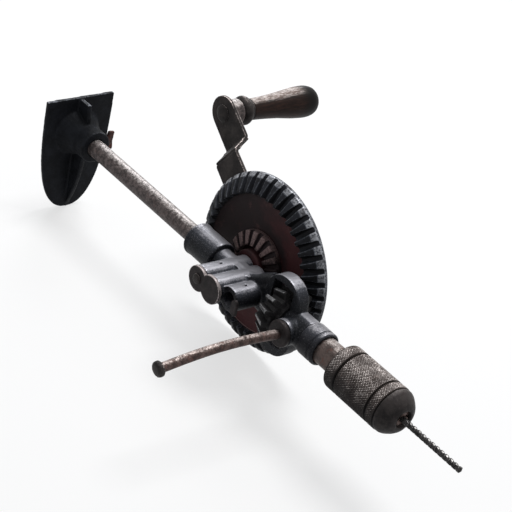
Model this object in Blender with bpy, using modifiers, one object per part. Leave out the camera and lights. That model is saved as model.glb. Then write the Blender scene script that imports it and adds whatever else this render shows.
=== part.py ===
# Two-speed breast drill: breast plate, tube, cast frame, bevel gear train, crank and three-jaw chuck.
# Lengths are metres. X runs from the breast plate to the bit, Y towards the crank, Z is up.
# The origin is on the spindle axis, at the breast plate's flat back.
import math

import bmesh
import bpy
import numpy as np
from mathutils import Matrix, Vector

# Fits
GAP = 0.0003
FINE_GAP = 0.0002
OVERRUN = 0.002
MERGE = 0.00001

# Facets of round pieces
STEPS_TINY = 8
STEPS_PIN = 12
STEPS_SMALL = 16
STEPS_GRIP = 22
STEPS = 28
STEPS_BODY = 32
STEPS_LARGE = 40
STEPS_GEAR = 42
FLAT_EDGE = math.radians(60)
SHALLOW_EDGE = math.radians(50)

# Breast plate
PLATE_THICKNESS = 0.003
PLATE_HALF_WIDTH = 0.0275
PLATE_RISE = 0.0270
PLATE_DROP = 0.0622
PLATE_TURN = math.radians(1.6)
PLATE_EDGE_BEVEL = 0.0008
PLATE_SIDE_POWER = 3.0
PLATE_TIP_POWER = 2.3
PLATE_OUTLINE_STEPS = 22
RIB_THICKNESS = 0.0032
RIB_TOP_REACH = 0.0108
RIB_FRONT_REACH = 0.0125
RIB_FOOT_REACH = 0.0130
RIB_TOP_SETBACK = 0.0008
RIB_FRONT_RISE = 0.0159
FLARE_RADIUS = 0.0178
FLARE_REACH = 0.0135
FLARE_POWER = 1.25
SOCKET_RADIUS = 0.0118
SOCKET_LENGTH = 0.0246
SOCKET_FLOOR = 0.0025
SOCKET_EDGE_BEVEL = 0.0008

# Thumb screw in the socket
SCREW_POSITION = 0.0180
SCREW_RADIUS = 0.0025
SCREW_NECK_LENGTH = 0.0008
SCREW_BLADE_HALF_WIDTH = 0.0078
SCREW_BLADE_DEPTH = 0.0062
SCREW_BLADE_THICKNESS = 0.0026

# Tube
TUBE_RADIUS = 0.0063
TUBE_BORE = 0.0045
TUBE_FREE_LENGTH = 0.1224
TUBE_SEAT = 0.0220

# Cast frame
COLLAR_RADIUS = 0.0112
COLLAR_LENGTH = 0.0270
COLLAR_LIP_LENGTH = 0.0028
COLLAR_LIP_RISE = 0.0005
COLLAR_EDGE_BEVEL = 0.0009
NECK_RADIUS = 0.0080
NECK_LENGTH = 0.0130
BOSS_RADIUS = 0.0083
BOSS_PITCH = 0.013015
BOSS_OUTER_REACH = 0.0270
BOSS_INNER_REACH = 0.0100
SHORT_BOSS_STEP = 0.0030
SHORT_BOSS_INNER_REACH = 0.0030
OIL_HOLE_RADIUS = 0.0009
OIL_HOLE_REACH = 0.0125
WEB_HALF_THICKNESS = 0.0045
WEB_WALL = 0.0055
WEB_TOP_WALL = 0.0056
WEB_BOTTOM_WALL = 0.0070
WEB_CORNER_RADIUS = 0.0150
WEB_END_SHARE = 0.36
BRIDGE_SHARE = 0.92
WEB_EDGE_BEVEL = 0.0014
WINDOW_CLEARANCE = 0.0011
WINDOW_CORNER_RADIUS = 0.0050
HUB_RADIUS = 0.0107
HUB_LENGTH = 0.0185
SPIGOT_RADIUS = 0.0094
SPIGOT_LENGTH = 0.0050

# Gear train
MODULE = 0.00274
GEAR_TEETH = 42
LOW_GEAR_TEETH = 18
PINION_TEETH = 14
PRESSURE_ANGLE = math.radians(20)
ADDENDUM_SHARE = 0.80
DEDENDUM_SHARE = 1.02
BACKLASH = 0.00050
FACE_SHARE = 0.175
PINION_HEEL_SHARE = 0.962
PINION_TOE_SHARE = 0.760
TIP_DROP = 0.0030
GEAR_TURN = math.radians(5.73)
RIM_RISE = 0.0025
RIM_DEPTH = 0.0071
RIM_TIP_DEPTH = 0.0038
RIM_ROOT_DEPTH = 0.0044
DISC_FRONT = 0.0205
DISC_THICKNESS = 0.0038
GEAR_HUB_RADIUS = 0.0115
GEAR_HUB_FRONT_GAP = 0.0005
GEAR_HUB_BACK_RISE = 0.0018
LOW_GEAR_TOOTH_DEPTH = 0.0026
LOW_OUTER_SHARE = 0.86
LOW_INNER_SHARE = 0.70
PINION_BACK = 0.0016
PINION_COLLAR_RADIUS = 0.0120
PINION_FRONT_SHARE = 0.86
PINION_BACK_SHARE = 0.55
PINION_ROOT_SHARE = 1.04
PINION_BORE_WALL = 0.0030
PINION_PIN_RADIUS = 0.0012

# Crank
AXLE_RADIUS = 0.0047
AXLE_END_RISE = 0.0012
CRANK_ANGLE = math.radians(145.0)
CRANK_RADIUS = 0.1068
ARM_THICKNESS = 0.0028
ARM_END_RADIUS = 0.0120
ARM_BEND_HALF_WIDTH = 0.0125
ARM_HUB_RADIUS = 0.0140
ARM_EDGE_BEVEL = 0.00034
ARM_JOGGLE = 0.0130
ARM_JOGGLE_INNER = 0.0759
ARM_JOGGLE_OUTER = 0.0825
ARM_NUT_RADIUS = 0.0082
ARM_NUT_HEIGHT = 0.0062
NUT_SIDES = 6
GRIP_PIN_RADIUS = 0.0030
GRIP_HEAD_RADIUS = 0.0062
GRIP_HEAD_HEIGHT = 0.0018
GRIP_END_RADIUS = 0.0048
SPACER_RADIUS = 0.0087
SPACER_LENGTH = 0.0098
FERRULE_LENGTH = 0.0092
FERRULE_BEAD_RADIUS = 0.0101
FERRULE_NECK_RADIUS = 0.0077
FERRULE_BEAD_SHARE = 0.84
GRIP_LENGTH = 0.0572
GRIP_SMALL_RADIUS = 0.0074
GRIP_LARGE_RADIUS = 0.0111
GRIP_END_RECESS = 0.0040

# Latch on the bosses
LATCH_THICKNESS = 0.0023
LATCH_LOBE_RADIUS = 0.0086
LATCH_DISC_RADIUS = 0.0095
LATCH_EDGE_BEVEL = 0.0003
LATCH_PIN_RADIUS = 0.0025
LATCH_PIN_LENGTH = 0.0160
BUTTON_RADIUS = 0.0036
BUTTON_HEIGHT = 0.0014
STOP_WIDTH = 0.0052
STOP_HEIGHT = 0.0105
STOP_THICKNESS = 0.0022
STOP_SHIFT = 0.0052
STOP_DROP = 0.0060

# Side handle
SIDE_BOSS_RADIUS = 0.0087
SIDE_BOSS_REACH = 0.0142
SIDE_BOSS_POSITION_SHARE = 0.42
SIDE_COLLAR_LENGTH = 0.0032
SIDE_COLLAR_BEVEL = 0.0006
SIDE_ROD_RADIUS = 0.00265
SIDE_ROD_INNER_REACH = 0.0075
SIDE_ROD_REACH = 0.1060
SIDE_ROD_BOW = 0.0030
SIDE_ROD_DROP = 0.0020
SIDE_CAP_RADIUS = 0.0050
SIDE_CAP_LENGTH = 0.0042
SIDE_CAP_EDGE = 0.0008

# Spindle and thrust bearing
SPINDLE_RADIUS = 0.0050
TAIL_RADIUS = 0.0032
TAIL_LENGTH = 0.0050
BEARING_CUP_RADIUS = 0.0114
BEARING_CUP_LENGTH = 0.0138
BEARING_CUP_BEVEL = 0.0011
CUP_CLEARANCE = 0.00045
RACE_THICKNESS = 0.0012
BALL_RADIUS = 0.0017
BALL_COUNT = 8
SHANK_RADIUS = 0.0091
SHANK_LENGTH = 0.0191
SPINDLE_THREAD_LENGTH = 0.0115

# Chuck
CHUCK_RADIUS = 0.0153
CORE_RADIUS = 0.0090
REAR_RING_LENGTH = 0.0099
REAR_RING_CHAMFER = 0.0034
SLEEVE_LENGTH = 0.0352
SLEEVE_RING_SHARE = 0.197
SLEEVE_FLANGE_LENGTH = 0.0074
SLEEVE_WALL = 0.0021
GROOVE_DEPTH = 0.0010
GROOVE_HALF_WIDTH = 0.0008
NOSE_LENGTH = 0.0103
NOSE_STRAIGHT_SHARE = 0.16
NOSE_ROUND_SHARE = 0.99
NOSE_FRONT_RADIUS = 0.0072
MOUTH_RADIUS = 0.0060
MOUTH_FLOOR_RADIUS = 0.0050
MOUTH_DEPTH = 0.0060
JAW_COUNT = 3
JAW_RADIUS = 0.0022
JAW_LENGTH = 0.0290
JAW_TILT = math.radians(11.0)
JAW_FRONT_OFFSET = 0.0028
JAW_TRAVEL = 0.0080
JAW_SETBACK = 0.0012
NUT_LENGTH = 0.0070
NUT_WALL_CLEARANCE = 0.0003

# Bit
BIT_RADIUS = 0.00195
BIT_REACH = 0.0482
BIT_SHANK = 0.0180
BIT_CHISEL_RADIUS = 0.00024
BIT_WEB_SHARE = 0.48
BIT_FLUTE_POWER = 0.7
BIT_FLUTE_PITCH = 0.0100
BIT_POINT_ANGLE = math.radians(59)
BIT_SECTION_POINTS = 12
BIT_STATIONS = 40

# Places along the spindle axis
SOCKET_END = PLATE_THICKNESS + SOCKET_LENGTH
SCREW_X = PLATE_THICKNESS + SCREW_POSITION
SCREW_BLADE_START = SOCKET_RADIUS + SCREW_NECK_LENGTH
TUBE_START = PLATE_THICKNESS + SOCKET_FLOOR
COLLAR_START = SOCKET_END + TUBE_FREE_LENGTH
COLLAR_END = COLLAR_START + COLLAR_LENGTH
AXLE_X = COLLAR_END + NECK_LENGTH
TUBE_END = COLLAR_START + TUBE_SEAT

# Gear cone: its apex is where the crank axis meets the spindle axis
GEAR_PITCH_RADIUS = MODULE * GEAR_TEETH / 2
PINION_PITCH_RADIUS = MODULE * PINION_TEETH / 2
LOW_SHIFT = BOSS_PITCH * 2
CONE_ANGLE = math.atan2(GEAR_PITCH_RADIUS, PINION_PITCH_RADIUS)
ADDENDUM = MODULE * ADDENDUM_SHARE
DEDENDUM = MODULE * DEDENDUM_SHARE
INNER_SCALE = 1 - FACE_SHARE
LOW_OUTER_RADIUS = GEAR_PITCH_RADIUS * LOW_OUTER_SHARE - LOW_SHIFT
LOW_INNER_RADIUS = GEAR_PITCH_RADIUS * LOW_INNER_SHARE - LOW_SHIFT
GEAR_OUTER_RADIUS = GEAR_PITCH_RADIUS + RIM_RISE
GEAR_BACK = PINION_PITCH_RADIUS + RIM_DEPTH
PINION_TIP_RADIUS = (PINION_PITCH_RADIUS + ADDENDUM * math.sin(CONE_ANGLE)) * PINION_HEEL_SHARE
PINION_HEEL = AXLE_X + GEAR_PITCH_RADIUS * PINION_HEEL_SHARE
PINION_TOE = AXLE_X + GEAR_PITCH_RADIUS * PINION_TOE_SHARE
PINION_END = AXLE_X + GEAR_PITCH_RADIUS + PINION_BACK

MIDDLE_BOSS_X = AXLE_X + BOSS_PITCH
LOW_BOSS_X = AXLE_X + LOW_SHIFT
PINION_PIN_X = (PINION_HEEL + PINION_TOE) / 2
WINDOW_START = PINION_TOE - DEDENDUM
WINDOW_END = PINION_END + GAP
WINDOW_HALF_HEIGHT = PINION_TIP_RADIUS + WINDOW_CLEARANCE
WEB_START = WINDOW_START - WEB_WALL
HUB_END = WINDOW_END + HUB_LENGTH
WEB_END = WINDOW_END + HUB_LENGTH * WEB_END_SHARE
SPIGOT_END = HUB_END + SPIGOT_LENGTH
SIDE_BOSS_X = WINDOW_END + HUB_LENGTH * SIDE_BOSS_POSITION_SHARE

RACE_START = SPIGOT_END + GAP
BALL_X = RACE_START + RACE_THICKNESS + FINE_GAP + BALL_RADIUS
SHANK_START = BALL_X + BALL_RADIUS + FINE_GAP
CHUCK_START = SHANK_START + SHANK_LENGTH
SLEEVE_START = CHUCK_START + REAR_RING_LENGTH + GAP
NOSE_START = SLEEVE_START + SLEEVE_LENGTH + GAP
NOSE_END = NOSE_START + NOSE_LENGTH
BIT_TIP = NOSE_END + BIT_REACH
JAW_FRONT = NOSE_END - JAW_SETBACK

# Places along the crank axis
LATCH_FACE = -BOSS_OUTER_REACH - GAP
ARM_FRONT = GEAR_BACK + GEAR_HUB_BACK_RISE + GAP
ARM_BACK = ARM_FRONT + ARM_THICKNESS
ARM_END_FRONT = ARM_FRONT + ARM_JOGGLE
ARM_END_BACK = ARM_END_FRONT + ARM_THICKNESS
SPACER_START = ARM_END_BACK + GAP
FERRULE_START = SPACER_START + SPACER_LENGTH + GAP
GRIP_START = FERRULE_START + FERRULE_LENGTH + GAP
GRIP_END = GRIP_START + GRIP_LENGTH
ARM_BEND = math.atan2(ARM_JOGGLE, ARM_JOGGLE_OUTER - ARM_JOGGLE_INNER)
ARM_LEAN = ARM_THICKNESS / 2 * math.tan(ARM_BEND / 2)
GRIP_X = AXLE_X + CRANK_RADIUS * math.cos(CRANK_ANGLE)
GRIP_Z = CRANK_RADIUS * math.sin(CRANK_ANGLE)

AXIS_TURNS = {
    "X": Matrix.Rotation(math.radians(90), 4, "Y"),
    "Y": Matrix.Rotation(math.radians(-90), 4, "X"),
    "Z": Matrix.Identity(4),
}


# Scene helpers
def clear_scene():
    for thing in list(bpy.data.objects):
        bpy.data.objects.remove(thing, do_unlink=True)


def new_collection(name):
    collection = bpy.data.collections.new(name)
    bpy.context.scene.collection.children.link(collection)
    return collection


def material(name, colour, roughness, metallic):
    made = bpy.data.materials.new(name)
    made.use_nodes = True
    shader = made.node_tree.nodes["Principled BSDF"]
    shader.inputs["Base Color"].default_value = (*colour, 1.0)
    shader.inputs["Roughness"].default_value = roughness
    shader.inputs["Metallic"].default_value = metallic
    return made


def object_from(name, mesh):
    made = bpy.data.objects.new(name, mesh)
    PARTS.objects.link(made)
    return made


def mesh_from(name, points, faces):
    mesh = bpy.data.meshes.new(name)
    mesh.from_pydata([tuple(point) for point in points], [], faces)
    mesh.update()
    return mesh


def evaluated(thing):
    """Replaces an object's data by its evaluated mesh, with the caps of curves welded."""
    bpy.context.view_layer.update()
    source = thing.evaluated_get(bpy.context.evaluated_depsgraph_get())
    mesh = bpy.data.meshes.new_from_object(source)
    shape = bmesh.new()
    shape.from_mesh(mesh)
    bmesh.ops.remove_doubles(shape, verts=shape.verts, dist=MERGE)
    bmesh.ops.dissolve_degenerate(shape, edges=shape.edges, dist=MERGE)
    shape.to_mesh(mesh)
    shape.free()
    if thing.type == "MESH":
        thing.modifiers.clear()
        thing.data = mesh
        return thing
    made = object_from(thing.name, mesh)
    made.matrix_world = thing.matrix_world.copy()
    bpy.data.objects.remove(thing, do_unlink=True)
    return made


def baked(thing):
    """Moves an object's place into its mesh."""
    bpy.context.view_layer.update()
    thing.data.transform(thing.matrix_world)
    thing.matrix_world = Matrix.Identity(4)
    return thing


def combine(target, tool, operation):
    """Joins or cuts a piece with a tool shape, which goes."""
    modifier = target.modifiers.new("Combine", "BOOLEAN")
    modifier.operation = operation
    modifier.object = tool
    modifier.solver = "EXACT"
    evaluated(target)
    bpy.data.objects.remove(tool, do_unlink=True)
    return target


def join(target, *tools):
    for tool in tools:
        combine(target, tool, "UNION")
    return target


def cut(target, *tools):
    for tool in tools:
        combine(target, tool, "DIFFERENCE")
    return target


def bevel(thing, width, segments=1, angle=math.radians(40)):
    modifier = thing.modifiers.new("Bevel", "BEVEL")
    modifier.width = width
    modifier.segments = segments
    modifier.limit_method = "ANGLE"
    modifier.angle_limit = angle
    modifier.use_clamp_overlap = True
    return evaluated(thing)


# Shapes
def rod(name, axis, radius, start, end, centre=(0, 0, 0), steps=STEPS):
    """A solid cylinder along an axis, from one place on it to another."""
    shape = bmesh.new()
    length = end - start
    bmesh.ops.create_cone(shape, cap_ends=True, segments=steps, radius1=radius, radius2=radius, depth=length)
    mesh = bpy.data.meshes.new(name)
    shape.to_mesh(mesh)
    shape.free()
    made = object_from(name, mesh)
    middle = {"X": (1, 0, 0), "Y": (0, 1, 0), "Z": (0, 0, 1)}[axis]
    place = Vector(centre) + Vector(middle) * ((start + end) / 2)
    made.matrix_world = Matrix.Translation(place) @ AXIS_TURNS[axis]
    return baked(made)


def block(name, low, high):
    shape = bmesh.new()
    bmesh.ops.create_cube(shape, size=1)
    size = [b - a for a, b in zip(low, high)]
    middle = [(a + b) / 2 for a, b in zip(low, high)]
    bmesh.ops.scale(shape, vec=size, verts=shape.verts)
    bmesh.ops.translate(shape, vec=middle, verts=shape.verts)
    mesh = bpy.data.meshes.new(name)
    shape.to_mesh(mesh)
    shape.free()
    return object_from(name, mesh)


def turned(name, axis, profile, centre=(0, 0, 0), steps=STEPS, ring=False):
    """A profile of (radius, place) pairs turned about an axis; a ring's profile closes on itself."""
    ordered = sorted_down(profile, ring)
    points = [(radius, 0, place) for radius, place in ordered]
    edges = [(i, i + 1) for i in range(len(points) - 1)]
    if ring:
        edges.append((len(points) - 1, 0))
    mesh = bpy.data.meshes.new(name)
    mesh.from_pydata(points, edges, [])
    made = object_from(name, mesh)
    screw = made.modifiers.new("Turn", "SCREW")
    screw.axis = "Z"
    screw.steps = steps
    screw.render_steps = steps
    screw.use_merge_vertices = True
    screw.merge_threshold = MERGE
    screw.use_smooth_shade = False
    made.matrix_world = Matrix.Translation(Vector(centre)) @ AXIS_TURNS[axis]
    evaluated(made)
    return baked(made)


def sorted_down(profile, ring):
    """The profile so that its outer side runs from the highest place to the lowest."""
    if ring:
        area = 0
        for (r0, z0), (r1, z1) in zip(profile, profile[1:] + profile[:1]):
            area += r0 * z1 - r1 * z0
        return profile[::-1] if area > 0 else profile
    return profile if profile[0][1] > profile[-1][1] else profile[::-1]


def outline(name, points, half_thickness):
    """A flat closed outline in the curve's own XY plane, thickened both ways."""
    data = bpy.data.curves.new(name, "CURVE")
    data.dimensions = "2D"
    data.fill_mode = "BOTH"
    data.extrude = half_thickness
    spline = data.splines.new("POLY")
    spline.points.add(len(points) - 1)
    for place, (a, b) in zip(spline.points, points):
        place.co = (a, b, 0, 1)
    spline.use_cyclic_u = True
    made = bpy.data.objects.new(name, data)
    PARTS.objects.link(made)
    return made


def sheet_along_y(name, points, low, high):
    """An outline of (x, z) points, thick from one y to another."""
    made = outline(name, points, (high - low) / 2)
    turn = Matrix.Rotation(math.radians(90), 4, "X")
    made.matrix_world = Matrix.Translation((0, (low + high) / 2, 0)) @ turn
    return baked(evaluated(made))


def sheet_along_x(name, points, low, high):
    """An outline of (y, z) points, thick from one x to another."""
    made = outline(name, points, (high - low) / 2)
    turn = Matrix(((0, 0, 1, 0), (1, 0, 0, 0), (0, 1, 0, 0), (0, 0, 0, 1)))
    made.matrix_world = Matrix.Translation(((low + high) / 2, 0, 0)) @ turn
    return baked(evaluated(made))


def arc(centre, radius, start, end, steps):
    """Points on an arc, angles in degrees."""
    points = []
    for i in range(steps + 1):
        angle = math.radians(start + (end - start) * i / steps)
        points.append((centre[0] + radius * math.cos(angle), centre[1] + radius * math.sin(angle)))
    return points


def rounded_box(low, high, radius, steps=6):
    """The outline of a rectangle with round corners."""
    (x0, z0), (x1, z1) = low, high
    points = arc((x1 - radius, z1 - radius), radius, 0, 90, steps)
    points += arc((x0 + radius, z1 - radius), radius, 90, 180, steps)
    points += arc((x0 + radius, z0 + radius), radius, 180, 270, steps)
    points += arc((x1 - radius, z0 + radius), radius, 270, 360, steps)
    return points


def loft(name, loops):
    """A closed body through loops of as many points each, the last joined to the first."""
    count = len(loops[0])
    points = [point for loop in loops for point in loop]
    faces = []
    for i in range(len(loops)):
        after = (i + 1) % len(loops)
        for j in range(count):
            k = (j + 1) % count
            faces.append((i * count + j, i * count + k, after * count + k, after * count + j))
    return oriented(object_from(name, mesh_from(name, points, faces)))


def capped_loft(name, loops):
    """A body through loops of as many points each, closed by a flat face at both ends."""
    count = len(loops[0])
    points = [point for loop in loops for point in loop]
    faces = [tuple(range(count)), tuple(range((len(loops) - 1) * count, len(loops) * count))]
    for i in range(len(loops) - 1):
        for j in range(count):
            k = (j + 1) % count
            faces.append((i * count + j, i * count + k, (i + 1) * count + k, (i + 1) * count + j))
    return oriented(object_from(name, mesh_from(name, points, faces)))


def oriented(thing):
    """Turns every face of a closed body outwards."""
    shape = bmesh.new()
    shape.from_mesh(thing.data)
    bmesh.ops.recalc_face_normals(shape, faces=shape.faces)
    if shape.calc_volume(signed=True) < 0:
        bmesh.ops.reverse_faces(shape, faces=shape.faces)
    shape.to_mesh(thing.data)
    shape.free()
    return thing


def finish(thing, name, finish_material, pivot=None, parent=None, smooth_angle=35):
    """Names a piece, sets its origin on its joint's axis, and gives it its material."""
    thing.name = name
    thing.data.name = name
    if pivot is not None:
        place = Vector(pivot)
        thing.data.transform(Matrix.Translation(-place))
        thing.location = place
    thing.data.materials.clear()
    thing.data.materials.append(finish_material)
    thing.data.shade_smooth()
    thing.data.set_sharp_from_angle(angle=math.radians(smooth_angle))
    if parent is not None:
        bpy.context.view_layer.update()
        thing.parent = parent
        thing.matrix_parent_inverse = parent.matrix_world.inverted()
    return thing


def joint_empty(name, place, parent=None):
    made = bpy.data.objects.new(name, None)
    made.empty_display_type = "ARROWS"
    made.empty_display_size = BOSS_RADIUS
    made.location = place
    PARTS.objects.link(made)
    bpy.context.view_layer.update()
    if parent is not None:
        made.parent = parent
        made.matrix_parent_inverse = parent.matrix_world.inverted()
    return made


# Breast plate
def plate_half_width(share):
    """Half the plate's width at a share of its height, counted down from the top edge."""
    return PLATE_HALF_WIDTH * (1 - share ** PLATE_SIDE_POWER) ** (1 / PLATE_TIP_POWER)


def plate_outline():
    height = PLATE_RISE + PLATE_DROP
    shares = [math.sin(math.pi / 2 * i / PLATE_OUTLINE_STEPS) for i in range(PLATE_OUTLINE_STEPS)]
    right = [(plate_half_width(share), PLATE_RISE - height * share) for share in shares]
    left = [(-y, z) for y, z in right[::-1]]
    return right + [(0, -PLATE_DROP)] + left


def plate_ribs():
    """The upright rib above the socket and the hollow one below it."""
    foot = PLATE_THICKNESS / 2
    front = PLATE_THICKNESS + RIB_TOP_REACH
    top = PLATE_RISE - RIB_TOP_SETBACK
    above = [
        (foot, top),
        (front, top),
        (PLATE_THICKNESS + RIB_FRONT_REACH, RIB_FRONT_RISE),
        (PLATE_THICKNESS + RIB_FRONT_REACH, 0),
        (foot, 0),
    ]
    reach_shares = (1.0, 0.91, 0.78, 0.55, 0.26, 0.0)
    drop_shares = (0.20, 0.36, 0.52, 0.70, 0.86, 0.97)
    below = [(foot, 0), (PLATE_THICKNESS + RIB_FOOT_REACH, 0)]
    for reach, drop in zip(reach_shares, drop_shares):
        below.append((PLATE_THICKNESS + RIB_FOOT_REACH * reach, -PLATE_DROP * drop))
    below.append((foot, -PLATE_DROP * drop_shares[-1]))
    upper = sheet_along_y("upper_rib", above, -RIB_THICKNESS / 2, RIB_THICKNESS / 2)
    lower = sheet_along_y("lower_rib", below, -RIB_THICKNESS / 2, RIB_THICKNESS / 2)
    return upper, lower


def socket_shape():
    """The socket with the hollow flare that joins it to the plate."""
    profile = [(0, PLATE_THICKNESS / 2), (FLARE_RADIUS, PLATE_THICKNESS / 2)]
    steps = 5
    for i in range(steps + 1):
        share = i / steps
        spread = (FLARE_RADIUS - SOCKET_RADIUS) * (1 - share) ** FLARE_POWER
        profile.append((SOCKET_RADIUS + spread, PLATE_THICKNESS + FLARE_REACH * share))
    profile += [
        (SOCKET_RADIUS, SOCKET_END - SOCKET_EDGE_BEVEL),
        (SOCKET_RADIUS - SOCKET_EDGE_BEVEL, SOCKET_END),
        (0, SOCKET_END),
    ]
    return turned("socket", "X", profile)


def make_breast_plate(metal):
    plate = sheet_along_x("plate", plate_outline(), 0, PLATE_THICKNESS)
    bevel(plate, PLATE_EDGE_BEVEL, angle=FLAT_EDGE)
    join(plate, *plate_ribs(), socket_shape())
    bore = rod("bore", "X", TUBE_RADIUS + GAP, TUBE_START - GAP, SOCKET_END + OVERRUN)
    hole = rod("hole", "Y", SCREW_RADIUS + GAP, 0, SOCKET_RADIUS + OVERRUN, (SCREW_X, 0, 0), STEPS_SMALL)
    cut(plate, bore, hole)
    return finish(turned_plate(plate), "breast_plate", metal)


def turned_plate(thing):
    """Turns a piece of the breast plate about the tube's axis, to where the plate is clamped."""
    thing.matrix_world = Matrix.Rotation(PLATE_TURN, 4, "X")
    return baked(thing)


def make_thumb_screw(metal):
    half = SCREW_BLADE_HALF_WIDTH
    low = SCREW_BLADE_START
    high = SCREW_BLADE_START + SCREW_BLADE_DEPTH
    middle = (low + high) / 2
    shank = rod("shank", "Y", SCREW_RADIUS, TUBE_RADIUS + GAP, middle, (SCREW_X, 0, 0), STEPS_SMALL)
    rise = SCREW_RADIUS / 2
    dip = SCREW_RADIUS / 3
    points = [(low, -SCREW_RADIUS), (low, SCREW_RADIUS), (low + rise, half), (high, half - dip)]
    points += [(high - dip, 0), (high, dip - half), (low + rise, -half)]
    thick = SCREW_BLADE_THICKNESS / 2
    blade = sheet_along_x("blade", points, SCREW_X - thick, SCREW_X + thick)
    bevel(blade, thick / 2)
    join(shank, blade)
    return finish(turned_plate(shank), "thumb_screw", metal, (SCREW_X, 0, 0))


def make_tube(metal, parent):
    tube = turned("tube", "X", [
        (TUBE_RADIUS, TUBE_START), (TUBE_RADIUS, TUBE_END), (TUBE_BORE, TUBE_END), (TUBE_BORE, TUBE_START),
    ], ring=True)
    return finish(tube, "frame_tube", metal, (0, 0, 0), parent)


# Cast frame
def collar_shape():
    lip = COLLAR_RADIUS + COLLAR_LIP_RISE
    lip_end = COLLAR_START + COLLAR_LIP_LENGTH
    return turned("collar", "X", [
        (0, COLLAR_START),
        (lip - COLLAR_EDGE_BEVEL, COLLAR_START),
        (lip, COLLAR_START + COLLAR_EDGE_BEVEL),
        (lip, lip_end - COLLAR_LIP_RISE),
        (COLLAR_RADIUS, lip_end),
        (COLLAR_RADIUS, COLLAR_END - COLLAR_EDGE_BEVEL),
        (COLLAR_RADIUS - COLLAR_EDGE_BEVEL, COLLAR_END),
        (NECK_RADIUS, COLLAR_END),
        (NECK_RADIUS, LOW_BOSS_X),
        (0, LOW_BOSS_X),
    ])


def web_shape():
    low = (WEB_START, -WINDOW_HALF_HEIGHT - WEB_BOTTOM_WALL)
    high = (WEB_END, WINDOW_HALF_HEIGHT + WEB_TOP_WALL)
    thick = WEB_HALF_THICKNESS
    ring = sheet_along_y("ring", rounded_box(low, high, WEB_CORNER_RADIUS, 8), -thick, thick)
    bevel(ring, WEB_EDGE_BEVEL, angle=FLAT_EDGE)
    half = BOSS_RADIUS * BRIDGE_SHARE
    plate = block("bridge", (AXLE_X, -thick, -half), (WINDOW_START, thick, half))
    return join(ring, plate)


def window_shape():
    low = (WINDOW_START, -WINDOW_HALF_HEIGHT)
    high = (WINDOW_END, WINDOW_HALF_HEIGHT)
    reach = WEB_HALF_THICKNESS + OVERRUN
    return sheet_along_y("window", rounded_box(low, high, WINDOW_CORNER_RADIUS, 5), -reach, reach)


def hub_shape():
    return turned("hub", "X", [
        (0, WINDOW_END),
        (HUB_RADIUS, WINDOW_END),
        (HUB_RADIUS, HUB_END),
        (SPIGOT_RADIUS, HUB_END),
        (SPIGOT_RADIUS, SPIGOT_END),
        (0, SPIGOT_END),
    ])


def make_main_frame(metal, parent):
    frame = collar_shape()
    outer = -BOSS_OUTER_REACH
    short = SHORT_BOSS_STEP - BOSS_OUTER_REACH
    high_boss = rod("boss_a", "Y", BOSS_RADIUS, outer, BOSS_INNER_REACH, (AXLE_X, 0, 0))
    middle_boss = rod("boss_b", "Y", BOSS_RADIUS, outer, BOSS_INNER_REACH, (MIDDLE_BOSS_X, 0, 0))
    low_boss = rod("boss_c", "Y", BOSS_RADIUS, short, SHORT_BOSS_INNER_REACH, (LOW_BOSS_X, 0, 0))
    side_boss = rod("side_boss", "Y", SIDE_BOSS_RADIUS, -SIDE_BOSS_REACH, 0, (SIDE_BOSS_X, 0, 0))
    join(frame, web_shape(), high_boss, middle_boss, low_boss, side_boss)
    sweep = rod("sweep", "X", WINDOW_HALF_HEIGHT, WINDOW_START, WINDOW_END)
    cut(frame, window_shape(), sweep)
    join(frame, hub_shape())
    cut(frame, *frame_bores())
    return finish(frame, "main_frame", metal, (0, 0, 0), parent)


def frame_bores():
    reach = BOSS_OUTER_REACH + OVERRUN
    axle = AXLE_RADIUS + GAP
    latch = LATCH_PIN_RADIUS + GAP
    latch_end = LATCH_FACE + LATCH_PIN_LENGTH
    tail_start = WINDOW_START - TAIL_LENGTH
    tail_end = WINDOW_START + OVERRUN
    side = SIDE_ROD_RADIUS + GAP
    side_end = GAP - SIDE_ROD_INNER_REACH
    top = BOSS_RADIUS + OVERRUN
    return [
        rod("tube_bore", "X", TUBE_RADIUS + GAP, COLLAR_START - OVERRUN, TUBE_END + GAP),
        rod("axle_bore", "Y", axle, -reach, reach, (AXLE_X, 0, 0)),
        rod("low_bore", "Y", axle, -reach, reach, (LOW_BOSS_X, 0, 0)),
        rod("latch_bore", "Y", latch, -reach, latch_end, (MIDDLE_BOSS_X, 0, 0), STEPS_SMALL),
        rod("spindle_bore", "X", SPINDLE_RADIUS + GAP, WINDOW_END - OVERRUN, SPIGOT_END + OVERRUN),
        rod("tail_bore", "X", TAIL_RADIUS + GAP, tail_start, tail_end, steps=STEPS_SMALL),
        rod("rod_bore", "Y", side, -reach, side_end, (SIDE_BOSS_X, 0, 0), STEPS_SMALL),
        rod("oil_a", "Z", OIL_HOLE_RADIUS, AXLE_RADIUS, top, (AXLE_X, -OIL_HOLE_REACH, 0), STEPS_TINY),
        rod("oil_c", "Z", OIL_HOLE_RADIUS, AXLE_RADIUS, top, (LOW_BOSS_X, -OIL_HOLE_REACH, 0), STEPS_TINY),
    ]


# Side handle
def make_side_collar(metal, parent):
    start = -SIDE_BOSS_REACH - GAP
    end = start - SIDE_COLLAR_LENGTH
    inner = SIDE_ROD_RADIUS + GAP
    collar = turned("collar", "Y", [
        (inner, start),
        (SIDE_BOSS_RADIUS, start),
        (SIDE_BOSS_RADIUS, end + SIDE_COLLAR_BEVEL),
        (SIDE_BOSS_RADIUS - SIDE_COLLAR_BEVEL, end),
        (inner, end),
    ], (SIDE_BOSS_X, 0, 0), ring=True)
    return finish(collar, "side_handle_collar", metal, (SIDE_BOSS_X, 0, 0), parent)


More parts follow.
